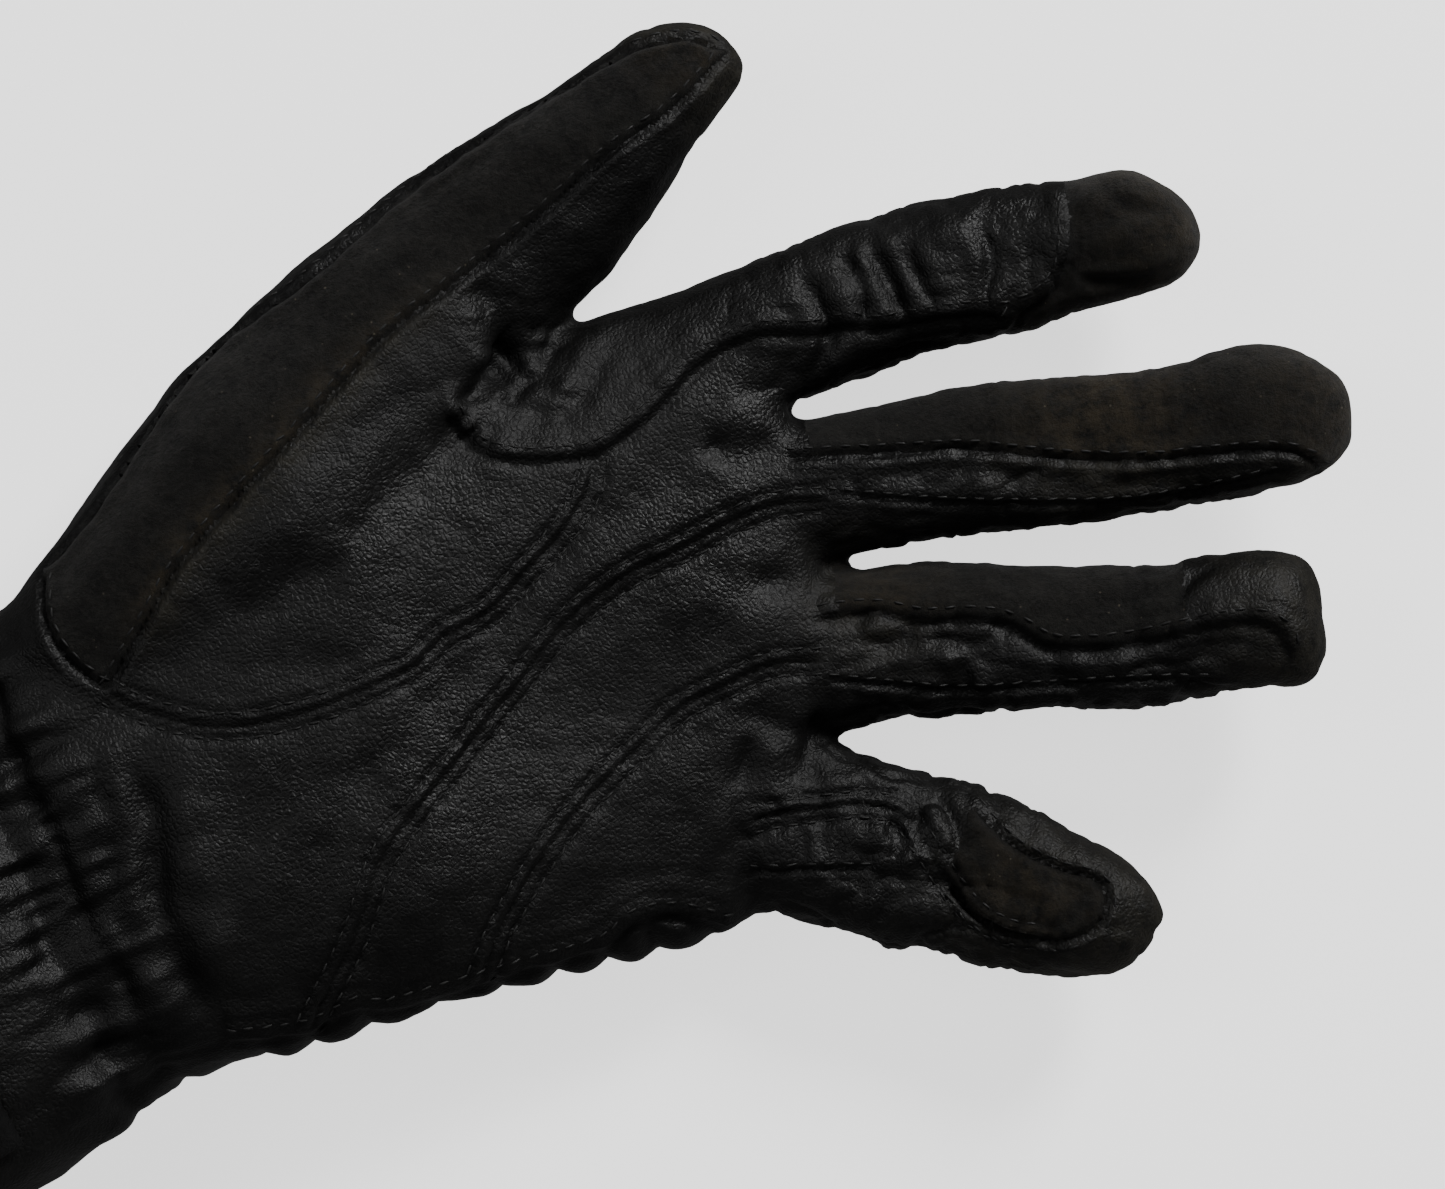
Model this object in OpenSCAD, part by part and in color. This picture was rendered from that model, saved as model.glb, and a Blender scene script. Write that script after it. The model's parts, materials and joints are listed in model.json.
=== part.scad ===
// Left-hand leather riding glove, lying on its back with the palm up.
// Fingers point along +X, the thumb side faces +Y, and the back rests on Z = 0.
// Every wall is a sheet of leather made from a grid of outer and inner points.

/* [Leather] */
// Thickness of the leather walls
leather_t = 1.4; // [1.0:0.1:1.6]
// Gap left along a sewn seam between two panels
seam_gap = 0.5; // [0.4:0.1:0.6]
// Squareness of the rounded cross-sections
round_p = 2.8; // [2.5:0.1:3.2]

/* [Hand] */
// Half thickness of the hand at the wrist
wrist_half_t = 19; // [18:0.5:20]
// Half thickness of the hand at the finger roots
root_half_t = 11; // [10.5:0.25:11.5]
// Half width of the wrist band
wrist_half_w = 40; // [38:0.5:41]
// Length of the gathered wrist band
band_l = 11; // [9:0.5:12]

/* [Fingers] */
// Length of the index finger beyond the web
index_l = 66; // [62:1:70]
// Length of the middle finger beyond the web
middle_l = 80; // [75:1:84]
// Length of the ring finger beyond the web
ring_l = 71; // [67:1:75]
// Length of the little finger beyond the web
little_l = 57; // [53:1:60]
// Half width of a finger at its root
finger_half_w = 10.1; // [9.5:0.1:10.1]
// Half thickness of a finger at its root
finger_half_t = 9.4; // [9.0:0.1:10.0]
// Upward tilt of the base segments
base_tilt = 3; // [0:1:5]
// Upward tilt of the middle segments
mid_tilt = 8; // [5:1:10]
// Upward tilt of the tip segments
tip_tilt = 14; // [10:1:16]

/* [Bending] */
// Largest bend at the finger roots
base_flex = 65; // [40:1:65]
// Largest bend at the middle knuckles
mid_flex = 78; // [50:1:78]
// Largest bend at the end knuckles
tip_flex = 45; // [30:1:47]
// Bend past straight that every finger joint allows
stretch = 8; // [4:1:10]
// Bend of the wrist to either side
wrist_flex = 20; // [10:1:22]

/* [Thumb] */
// Direction of the thumb, from +X towards +Y
thumb_yaw = 40; // [38:1:42]
// Length of the thumb beyond the crotch
thumb_l = 50; // [47:1:53]
// Half width of the thumb at the crotch
thumb_half_w = 15; // [14:0.5:15.5]
// Half thickness of the thumb at the crotch
thumb_half_t = 12; // [11:0.5:12.5]
// Bend that the walls at the thumb's base joint are cut back for, a little over the largest one
thumb_base_flex = 22; // [15:1:24]
// Bend that the walls at the thumb's tip joint are cut back for, a little over the largest one
thumb_tip_flex = 42; // [30:1:45]

/* [Cuff] */
// Length of the cuff beyond the wrist
cuff_l = 50; // [42:1:60]
// Half width of the cuff at its hem
cuff_half_w = 46; // [43:0.5:48]
// Half thickness of the cuff at its hem
cuff_half_t = 24; // [22:0.5:25]
// Direction of the forearm, below the -X axis
forearm_drop = 24; // [20:1:28]
// Width of the bound hem
hem_w = 7; // [5:0.5:9]

/* [Strap] */
// Width of the wrist strap
strap_w = 20; // [16:1:22]
// Distance of the strap's wrist edge from the wrist
strap_at = 20; // [17:1:22]
// Thickness of each hook-and-loop patch
patch_t = 0.9; // [0.7:0.1:1.1]

/* [Hidden] */

// Layout: points are given from the middle of the wrist, then moved onto the frame's origin
ORIGIN = [-55, -27, 0];
WRIST = [-7, -4, 0];
// Half of the gap left between two bodies at a hinge
hinge_gap = 0.35;
// Height of a finger's hinge above its centre line, towards the palm
hinge_q = 3;
// Spare angle added to every cut-back end
spare = 2;
// Share of the dome that is left open at the end of a fingertip
tip_hole = 0.05;
// Height of the fingers' centre line at their roots
finger_z = 11.5;
thumb_z = 14;
// Tilt of the thumb's bending direction away from +Z, towards the index finger
thumb_lean = 8;
// Columns across a panel and rings along it
cols = 7;
rows = 16;

SEGMENTS = ["base", "mid", "tip"];
// Name, root x, root y, yaw, length, half widths at the root, two knuckles and tip
FINGERS = [
    ["index", 94.5, 73.5, 14, index_l, finger_half_w * [1, 1, 0.95, 0.9]],
    ["middle", 103, 50, 9, middle_l, finger_half_w * [1, 1, 1, 0.95]],
    ["ring", 106.5, 26.5, 4, ring_l, finger_half_w * [1, 1, 0.97, 0.93]],
    ["little", 100.5, 0.5, -16, little_l, finger_half_w * [1.04, 1.06, 1, 0.95]],
];
// Shares of a finger's length taken by its three segments
SHARES = [0.355, 0.32, 0.325];

HAND_NODES = ["palm_centre", "palm_middle", "palm_outer", "thenar_panel", "index_edge_panel",
    "crotch_gusset", "thumb_strip_root", "thumb_outer_side", "back_panel", "thumb_back_root",
    "ulnar_gusset", "index_side_panel", "finger_webs", "wrist_elastic"];
THUMB_NODES = ["thumb_base_strip", "thumb_base_inner", "thumb_base_back",
    "thumb_tip_strip", "thumb_tip_inner", "thumb_tip_back"];
CUFF_NODES = ["cuff_palm", "cuff_back", "cuff_hem", "cuff_lining", "strap_loop_patch",
    "wrist_strap", "strap_hook_patch"];
function finger_parts(k) = k == 2 ? ["palm", "back"] : ["palm", "back", "sides"];
FINGER_NODES = [for (f = FINGERS) for (k = [0:2]) for (p = finger_parts(k))
    str(f[0], "_", SEGMENTS[k], "_", p)];

// ---- Small maths ----
function mix(a, b, t) = a + (b - a) * t;
function signed_pow(v, e) = sign(v) * pow(abs(v), e);
// Across and up on a rounded section of half width 1 and half thickness 1
function across(phi) = signed_pow(cos(phi), 2 / round_p);
function up(phi) = signed_pow(sin(phi), 2 / round_p);
// Height of the rounded section at a distance d from its middle
function dome(d) = abs(d) >= 1 ? 0 : pow(1 - pow(abs(d), round_p), 1 / round_p);
function travelled(c, i) = i == 0 ? 0 : travelled(c, i - 1) + norm(c[i] - c[i - 1]);
// Point at the share u of an outline's length
function along(c, u) =
    let (d = [for (i = [0:len(c) - 1]) travelled(c, i)], s = u * d[len(c) - 1])
    [lookup(s, [for (i = [0:len(c) - 1]) [d[i], c[i][0]]]),
     lookup(s, [for (i = [0:len(c) - 1]) [d[i], c[i][1]]])];

// ---- Sheets of leather ----
// Closed sheet between a grid of outer points and a grid of inner points
module sheet(outer, inner) {
    m = len(outer);
    n = len(outer[0]);
    a = floor(m / 2);
    b = floor(n / 2);
    outward = cross(outer[a][b] - outer[a - 1][b], outer[a][b] - outer[a][b - 1])
        * (outer[a][b] - inner[a][b]) > 0;
    top = [for (i = [0:m - 2]) for (j = [0:n - 2])
        each quad(i * n + j, (i + 1) * n + j, (i + 1) * n + j + 1, i * n + j + 1)];
    low = [for (f = top) [f[2] + m * n, f[1] + m * n, f[0] + m * n]];
    rim = concat([for (i = [0:m - 2]) i * n], [for (j = [0:n - 2]) (m - 1) * n + j],
        [for (i = [m - 1:-1:1]) i * n + n - 1], [for (j = [n - 1:-1:1]) j]);
    edge = [for (k = [0:len(rim) - 1]) let (p = rim[k], q = rim[(k + 1) % len(rim)])
        each quad(q, p, p + m * n, q + m * n)];
    faces = concat(top, low, edge);
    polyhedron([each [for (r = outer) each r], each [for (r = inner) each r]],
        outward ? [for (f = faces) [f[2], f[1], f[0]]] : faces);
}
function quad(a, b, c, d) = [[a, b, c], [a, c, d]];

// ---- Hand: height of the surfaces above a point of the plan ----
// Edge of the hand on the little finger's side, and on the index finger's side
ULNAR = [[-20, -52], [4, -41], [18, -35], [28, -32], [42, -27.5], [61, -22.5], [75, -19], [92, -14.5],
    [100, -11]];
RADIAL = [[-40, 20], [-12, 37], [20, 50], [50, 62], [64, 73], [79, 78], [93, 81.5], [100, 82]];
HALF_T = [[-20, wrist_half_t], [10, wrist_half_t - 0.5], [40, mix(wrist_half_t, root_half_t, 0.25)],
    [70, mix(wrist_half_t, root_half_t, 0.65)], [100, root_half_t]];
// Ball of the thumb: its axis, and its half width and half thickness along that axis
THENAR_FROM = [-6, 22];
THUMB_ROOT = [53, 84.5];
THENAR_W = [[0, 14], [0.2, 15.8], [0.5, 19.3], [0.8, 18], [1, thumb_half_w]];
THENAR_T = [[0, wrist_half_t - 1.5], [0.5, wrist_half_t - 2], [1, thumb_half_t]];
THENAR_Z = [[0, wrist_half_t - 1], [0.5, wrist_half_t - 1.5], [1, thumb_z]];
thenar_axis = THUMB_ROOT - THENAR_FROM;
thenar_l = norm(thenar_axis);
thenar_u = thenar_axis / thenar_l;
thenar_n = [-thenar_u[1], thenar_u[0]];
function thenar_t(p) = min(1, max(0, (p - THENAR_FROM) * thenar_u / thenar_l));
function thenar_d(p) = (p - THENAR_FROM) * thenar_n / lookup(thenar_t(p), THENAR_W);
function hand_d(p) = let (lo = lookup(p[0], ULNAR), hi = lookup(p[0], RADIAL))
    (2 * p[1] - lo - hi) / (hi - lo);
function half_t(x) = lookup(x, HALF_T);
// side is 1 on the palm and -1 on the back; inset moves the surface inwards
function hand_z(p, side, inset) =
    let (h = half_t(p[0]), t = thenar_t(p), c = lookup(t, THENAR_Z), b = lookup(t, THENAR_T))
    side > 0
        ? max(h + (h - inset) * dome(hand_d(p)), c + (b - inset) * dome(thenar_d(p)))
        : min(h - (h - inset) * dome(hand_d(p)), c - (b - inset) * dome(thenar_d(p)));

// Plan positions where the hand ends at the finger roots, in each finger's lane
LANES = [[-20, 100.5], [16.4, 100.5], [17.4, 106.5], [35.4, 106.5], [36.4, 103], [57.4, 103],
    [63.4, 95], [90, 95]];
function root_x(y, side) = lookup(y, LANES) - (side > 0 ? 5.4 : 2.2);

// Panel of the hand between two plan outlines. With roots, its far end follows the finger roots
module hand_panel(low, high, side, roots = false, end = []) {
    width = norm(along(high, 0.5) - along(low, 0.5));
    trim = seam_gap / 2 / width;
    function at(u, j) =
        let (v = mix(trim, 1 - trim, j / (cols - 1)),
            p = mix(along(low, u), along(high, u), v),
            q = mix(along(low, 1), along(high, 1), v),
            e = roots ? [root_x(q[1], side), q[1]] : len(end) > 0 ? along(end, v) : q)
        p + (e - q) * pow(u, 5);
    grid = [for (i = [0:rows]) [for (j = [0:cols - 1]) at(i / rows, j)]];
    sheet([for (r = grid) [for (p = r) [p[0], p[1], hand_z(p, side, 0)]]],
        [for (r = grid) [for (p = r) [p[0], p[1], hand_z(p, side, leather_t)]]]);
}

// Wall round an edge of the hand: from and to are the ends along X, and spread is how far it reaches
// round the edge to either side
module hand_edge(from, to, middle, spread) {
    function at(x, phi, inset) =
        let (lo = lookup(x, ULNAR), hi = lookup(x, RADIAL), w = (hi - lo) / 2 - inset)
        [x, (lo + hi) / 2 + w * across(phi), half_t(x) + (half_t(x) - inset) * up(phi)];
    angles = [for (j = [0:cols - 1]) middle + mix(-spread, spread, j / (cols - 1))];
    xs = [for (i = [0:rows]) mix(from, to, i / rows)];
    sheet([for (x = xs) [for (phi = angles) at(x, phi, 0)]],
        [for (x = xs) [for (phi = angles) at(x, phi, leather_t)]]);
}

// ---- Seam lines of the hand, in plan ----
CENTRE_SEAM = [[31, -28], [36.5, -15], [47, 5.5], [60.5, 22], [71, 34], [83.5, 41], [98, 47.5]];
RING_SEAM = [[55, -21], [58.5, -12.5], [65, -1.5], [77.5, 12], [83.5, 18], [97, 24.5]];
THENAR_SEAM = [[3, 20], [14.5, 16], [22, 16], [32, 18.5], [45.5, 24.5], [55.5, 32], [66, 43], [70.5, 53]];
INDEX_SEAM = [[71, 55], [81, 63], [86, 68.3], [89.6, 70.2]];
STRIP_SEAM = [[2.5, 22], [7, 31], [12.5, 40.5], [27, 57], [41, 73], [50.5, 80.5]];
STRIP_EDGE = [[-8.5, 37.5], [-2, 46], [9, 61.5], [17, 70], [29, 80.5], [41.5, 91.5]];
HEEL = [17.5, -30];

module palm_centre() {
    color([0.10, 0.10, 0.10])
        hand_panel(concat([HEEL], CENTRE_SEAM), concat(THENAR_SEAM, INDEX_SEAM), 1, roots = true);
}
module palm_middle() {
    color([0.11, 0.11, 0.11])
        hand_panel(concat([[34, -27.4]], RING_SEAM), CENTRE_SEAM, 1, roots = true);
}
module palm_outer() {
    color([0.10, 0.10, 0.10])
        hand_panel([[58.5, -20.4], [68, -17.6], [80, -14.5], [96, -9.5]], RING_SEAM, 1, roots = true);
}
module thenar_panel() {
    color([0.12, 0.12, 0.11])
        hand_panel(THENAR_SEAM, STRIP_SEAM, 1, end = [[69.5, 53], [60, 54.6], [52, 59.5], [50, 79.5]]);
}
module index_edge_panel() {
    color([0.09, 0.09, 0.09])
        hand_panel([[54, 61.2], [60, 57.4], [71, 56], [81, 64], [86, 69.3], [89.6, 71]],
            [[57, 65.5], [65, 72.5], [72, 74.8], [80, 77], [93, 80]], 1, roots = true);
}
module crotch_gusset() {
    color([0.08, 0.08, 0.08])
        hand_panel([[53, 61.5], [57, 66.5], [61.5, 72]], [[51.5, 78], [56, 76.8], [60.5, 74]], 1);
}
module thumb_strip_root() {
    color([0.17, 0.15, 0.13]) hand_panel(STRIP_SEAM, STRIP_EDGE, 1);
}
module back_panel() {
    color([0.10, 0.10, 0.10])
        hand_panel([[19, -31], [28, -28.5], [42, -24], [61, -19], [75, -15.5], [96, -9.5]],
            [[4, 21], [20, 37], [40, 56], [57, 69.5], [70, 74], [80, 77], [93, 80]], -1, roots = true);
}
module thumb_back_root() {
    color([0.12, 0.12, 0.12])
        hand_panel([[3.5, 21.5], [19.5, 37.5], [39.5, 56.5], [56.5, 70]], STRIP_EDGE, -1,
            end = [[60.5, 73.5], [50.5, 83], [41.5, 91.5]]);
}
module ulnar_gusset() {
    color([0.07, 0.07, 0.07]) hand_edge(21, 96, 180, 19);
}
module index_side_panel() {
    color([0.09, 0.09, 0.09]) hand_edge(67, 91, 0, 10);
}
// Wall along the outer edge of the ball of the thumb
thumb_edge_phi = 24;
module thumb_outer_side() {
    function at(t, phi, inset) =
        let (w = lookup(t, THENAR_W) - inset, p = THENAR_FROM + thenar_axis * t + thenar_n * w * across(phi))
        [p[0], p[1], lookup(t, THENAR_Z) + (lookup(t, THENAR_T) - inset) * up(phi)];
    angles = [for (j = [0:cols - 1]) mix(-thumb_edge_phi, thumb_edge_phi, j / (cols - 1))];
    ts = [for (i = [0:rows]) mix(0.1, 0.955, i / rows)];
    color([0.11, 0.11, 0.11])
        sheet([for (t = ts) [for (phi = angles) at(t, phi, 0)]],
            [for (t = ts) [for (phi = angles) at(t, phi, leather_t)]]);
}
// Small walls that close the hand between the finger roots
web_l = 7;
WEBS = [[82, 60.5], [90, 37.5], [87.5, 14]];
module finger_webs() {
    color([0.08, 0.08, 0.08])
        for (w = WEBS) {
            low = max([for (k = [0:2]) hand_z(w + [k * web_l / 2, 0], -1, leather_t)]) + 0.3;
            high = min([for (k = [0:2]) hand_z(w + [k * web_l / 2, 0], 1, leather_t)]) - 0.3;
            translate([w[0], w[1] - leather_t / 2, low]) cube([web_l, leather_t, high - low]);
        }
}

// ---- Round limbs: fingers, thumb, wrist band and cuff ----
// frame = [start, along, across, up]; sizes are [half width, half thickness] at both ends
function direction(yaw, tilt) = [cos(yaw) * cos(tilt), sin(yaw) * cos(tilt), sin(tilt)];
function limb_frame(start, yaw, tilt) =
    [start, direction(yaw, tilt), [-sin(yaw), cos(yaw), 0], direction(yaw, tilt + 90)];
// How far an end is cut back at an offset q towards the palm, for a bend each way
function cut_back(q, bend, back) = hinge_gap
    + (q > hinge_q ? (q - hinge_q) * tan(bend / 2 + spare) : (hinge_q - q) * tan(back / 2 + spare));

// One point of a limb. cut = [bend, back] at the near and far ends, and skew turns the near end
function limb_point(frame, length, sizes, near, far, skew, lean, phi, k, inset) =
    let (size = mix(sizes[0], sizes[1], k) - [inset, inset],
        x = size[0] * across(phi), z = size[1] * up(phi), q = z * cos(lean) - x * sin(lean),
        from = cut_back(q, near[0], near[1]) + x * tan(skew),
        to = length - cut_back(q, far[0], far[1]))
    frame[0] + frame[1] * mix(from, to, k) + frame[2] * x + frame[3] * z;
module limb_wall(frame, length, sizes, near, far, phi0, phi1, skew = 0, lean = 0, wall = leather_t, n = cols) {
    trim = seam_gap / 2 / sizes[0][0] * 180 / PI;
    angles = [for (j = [0:n - 1]) mix(phi0 + trim, phi1 - trim, j / (n - 1))];
    ks = [0, 0.25, 0.5, 0.75, 1];
    sheet([for (k = ks) [for (phi = angles) limb_point(frame, length, sizes, near, far, skew, lean, phi, k, 0)]],
        [for (k = ks) [for (phi = angles) limb_point(frame, length, sizes, near, far, skew, lean, phi, k, wall)]]);
}
// A limb's closed tip: a straight stretch, then a dome
dome_rings = 7;
function tip_point(frame, length, size, straight, near, lean, phi, k, inset) =
    let (turn = k <= 1 ? 0 : 88 * (k - 1) / dome_rings,
        scale = max(tip_hole, cos(turn)),
        x = (size[0] - inset) * across(phi) * scale, z = (size[1] - inset) * up(phi) * scale,
        q = z * cos(lean) - x * sin(lean),
        from = cut_back(q, near[0], near[1]),
        to = length * straight,
        s = k <= 1 ? mix(from, to, k) : mix(to, length - inset, sin(turn)))
    frame[0] + frame[1] * s + frame[2] * x + frame[3] * z;
module tip_wall(frame, length, size, straight, near, phi0, phi1, lean = 0, n = 9) {
    trim = seam_gap / 2 / size[0] * 180 / PI;
    angles = [for (j = [0:n - 1]) mix(phi0 + trim, phi1 - trim, j / (n - 1))];
    ks = [0, 0.5, each [1:dome_rings + 1]];
    sheet([for (k = ks) [for (phi = angles) tip_point(frame, length, size, straight, near, lean, phi, k, 0)]],
        [for (k = ks) [for (phi = angles) tip_point(frame, length, size, straight, near, lean, phi, k, leather_t)]]);
}

// ---- Fingers ----
TILTS = [base_tilt, mid_tilt, tip_tilt];
function segment_l(f, k) = f[4] * SHARES[k];
function segment_start(f, k) = k == 0 ? [f[1], f[2], finger_z]
    : segment_start(f, k - 1) + direction(f[3], TILTS[k - 1]) * segment_l(f, k - 1);
function finger_frame(f, k) = limb_frame(segment_start(f, k), f[3], TILTS[k]);
function finger_size(f, k) = [f[5][k], finger_half_t * [1, 0.97, 0.93, 0.9][k]];
// Bend and stretch of the joint at the near end of segment k, with the rest tilt counted in
BENDS = [[base_flex, stretch], [mid_flex + mid_tilt - base_tilt, stretch],
    [tip_flex + tip_tilt - mid_tilt, stretch]];
SIDE_ARCS = [[-45, 45], [135, 225]];
function part_arcs(part) = part == "palm" ? [[45, 135]] : part == "back" ? [[225, 315]] : SIDE_ARCS;
module finger_part(f, k, part) {
    frame = finger_frame(f, k);
    color(part == "sides" ? [0.16, 0.14, 0.12] : [0.10, 0.10, 0.10])
        if (k < 2)
            for (arc = part_arcs(part))
                limb_wall(frame, segment_l(f, k), [finger_size(f, k), finger_size(f, k + 1)],
                    BENDS[k], BENDS[k + 1], arc[0], arc[1], skew = k == 0 ? f[3] : 0, n = 5);
        else
            tip_wall(frame, segment_l(f, 2), finger_size(f, 2), 0.5, BENDS[2],
                part == "palm" ? 0 : 180, part == "palm" ? 180 : 360);
}

// ---- Thumb ----
THUMB_SHARES = [0.42, 0.58];
thumb_start = [THUMB_ROOT[0], THUMB_ROOT[1], thumb_z];
// The thumb narrows from the crotch to its end joint and its tip
thumb_sizes = [[thumb_half_w, thumb_half_t], [thumb_half_w * 0.88, thumb_half_t * 0.94]];
thumb_tilt = 4;
THUMB_BENDS = [[thumb_base_flex, stretch], [thumb_tip_flex, stretch]];
thumb_base_frame = limb_frame(thumb_start, thumb_yaw, thumb_tilt);
thumb_tip_start = thumb_start + thumb_base_frame[1] * thumb_l * THUMB_SHARES[0];
thumb_tip_frame = limb_frame(thumb_tip_start, thumb_yaw - 3, thumb_tilt * 2);
// Arc of each part: outer suede strip, wall facing the index finger, and back
THUMB_ARCS = [["strip", 20, 125], ["inner", 125, 200], ["back", 200, 380]];
function thumb_arc(part) = [for (a = THUMB_ARCS) if (a[0] == part) [a[1], a[2]]][0];
function thumb_color(part) = part == "strip" ? [0.17, 0.15, 0.13] : [0.10, 0.10, 0.10];
module thumb_base(part) {
    arc = thumb_arc(part);
    color(thumb_color(part))
        limb_wall(thumb_base_frame, thumb_l * THUMB_SHARES[0], thumb_sizes, THUMB_BENDS[0], THUMB_BENDS[1],
            arc[0], arc[1], lean = thumb_lean, n = 9);
}
module thumb_tip(part) {
    arc = thumb_arc(part);
    color(thumb_color(part))
        tip_wall(thumb_tip_frame, thumb_l * THUMB_SHARES[1], thumb_sizes[1], 0.15, THUMB_BENDS[1],
            arc[0], arc[1], lean = thumb_lean);
}

// ---- Wrist band and cuff ----
// The band reaches towards the fingers and the cuff towards the arm, from the same hinge line
wrist_z = wrist_half_t;
function towards(sign) = [cos(forearm_drop), sin(forearm_drop), 0] * sign;
wrist_frame = [WRIST + [0, 0, wrist_z], towards(1), [-sin(forearm_drop), cos(forearm_drop), 0], [0, 0, 1]];
wrist_size = [wrist_half_w, wrist_half_t];
module wrist_elastic() {
    color([0.06, 0.06, 0.06])
        for (arc = [[0, 90], [90, 180], [180, 270], [270, 360]])
            sheet(band_grid(arc, 0), band_grid(arc, leather_t));
}
function wrist_cut(z) = hinge_gap + abs(z) * tan(wrist_flex / 2 + spare / 2);
function band_grid(arc, inset) =
    let (trim = seam_gap / 2 / wrist_half_w * 180 / PI)
    [for (k = [0:2]) [for (j = [0:cols - 1])
        let (phi = mix(arc[0] + trim, arc[1] - trim, j / (cols - 1)),
            size = wrist_size - [inset, inset], z = size[1] * up(phi))
        wrist_frame[0] + wrist_frame[1] * mix(wrist_cut(z), band_l, k / 2)
            + wrist_frame[2] * size[0] * across(phi) + [0, 0, z]]];

cuff_dir = -towards(1);
function cuff_size(s) = mix(wrist_size, [cuff_half_w, cuff_half_t], s / cuff_l);
function cuff_mid(s) = WRIST + cuff_dir * s + [0, 0, cuff_size(s)[1]];
// Point of the cuff s along it from the wrist, moved inwards by inset
function cuff_point(s, phi, inset) =
    let (size = cuff_size(s) - [inset, inset])
    cuff_mid(s) + wrist_frame[2] * size[0] * across(phi) + [0, 0, size[1] * up(phi)];
module cuff_wall(s0, s1, phi0, phi1, outer, inner, n = 13) {
    trim = seam_gap / 2 / wrist_half_w * 180 / PI;
    function from(phi) = max(s0, wrist_cut(wrist_half_t * up(phi)));
    function grid(inset) = [for (k = [0:5]) [for (j = [0:n - 1])
        let (phi = mix(phi0 + trim, phi1 - trim, j / (n - 1)))
        cuff_point(mix(from(phi), s1, k / 5), phi, inset)]];
    sheet(grid(outer), grid(inner));
}
module cuff_palm() { color([0.10, 0.10, 0.10]) cuff_wall(0, cuff_l - hem_w, 0, 180, 0, leather_t); }
module cuff_back() { color([0.10, 0.10, 0.10]) cuff_wall(0, cuff_l - hem_w, 180, 360, 0, leather_t); }
module cuff_hem() {
    color([0.07, 0.07, 0.07])
        for (a = [0, 180]) cuff_wall(cuff_l - hem_w + seam_gap, cuff_l, a, a + 180, 0, leather_t + lining_t);
}
lining_t = 0.6;
lining_gap = 0.1;
module cuff_lining() {
    color([0.13, 0.13, 0.14])
        for (a = [0, 180])
            cuff_wall(6, cuff_l - hem_w, a, a + 180, leather_t + lining_gap, leather_t + lining_gap + lining_t);
}

// Strap over the palm side of the cuff, from the little finger's side. It is laid by its place across
STRAP_FROM = -0.84;
STRAP_TO = 0.1;
STRAP_PATCH = [-0.55, 0];
strap_t = 1.5;
patch_gap = 0.25;
// Surface of the palm side of the cuff at the share d across it, raised by lift
function cuff_top(s, d, lift) =
    let (size = cuff_size(s))
    cuff_mid(s) + wrist_frame[2] * size[0] * d + [0, 0, size[1] * dome(d) + lift];
module on_cuff(s0, s1, d0, d1, low, high, rounded = 0) {
    function side(j, d) = let (e = max(0, d - d1 + rounded), r = rounded > 0 ? 1 - 0.55 * pow(e / rounded, 3) : 1)
        mix(s0, s1, 0.5 + (j / 4 - 0.5) * r);
    function grid(lift) = [for (i = [0:12]) [for (j = [0:4])
        let (d = mix(d0, d1, i / 12)) cuff_top(side(j, d), d, lift)]];
    sheet(grid(high), grid(low));
}
strap_lift = patch_gap * 2 + patch_t * 2;
module wrist_strap() {
    color([0.08, 0.08, 0.08])
        on_cuff(strap_at, strap_at + strap_w, STRAP_FROM, STRAP_TO, strap_lift, strap_lift + strap_t, 0.22);
}
patch_side = 3;
module strap_loop_patch() {
    color([0.05, 0.05, 0.05])
        on_cuff(strap_at + patch_side, strap_at + strap_w - patch_side, STRAP_PATCH[0], STRAP_PATCH[1],
            0.1, 0.1 + patch_t);
}
module strap_hook_patch() {
    color([0.05, 0.05, 0.05])
        on_cuff(strap_at + patch_side, strap_at + strap_w - patch_side, STRAP_PATCH[0], STRAP_PATCH[1],
            strap_lift - 0.02 - patch_t, strap_lift - 0.02);
}

translate(ORIGIN) {
    palm_centre();
    palm_middle();
    palm_outer();
    thenar_panel();
    index_edge_panel();
    crotch_gusset();
    thumb_strip_root();
    thumb_outer_side();
    back_panel();
    thumb_back_root();
    ulnar_gusset();
    index_side_panel();
    finger_webs();
    wrist_elastic();
    for (f = FINGERS) for (k = [0:2]) for (p = finger_parts(k))
        finger_part(f, k, p);
    for (a = THUMB_ARCS) {
        thumb_base(a[0]);
        thumb_tip(a[0]);
    }
    cuff_palm();
    cuff_back();
    cuff_hem();
    cuff_lining();
    strap_loop_patch();
    wrist_strap();
    strap_hook_patch();
}
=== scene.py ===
"""Left-hand leather riding glove, palm up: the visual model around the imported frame.

Plan points are in millimetres from a mark near the middle of the wrist; LAYOUT moves them into the frame.
The skin is one form, built from lofts, joined, relaxed, sculpted by formula, and then cut into panels.
"""
import json
import math
import bpy
import numpy as np
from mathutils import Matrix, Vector
from mathutils.bvhtree import BVHTree


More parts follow.
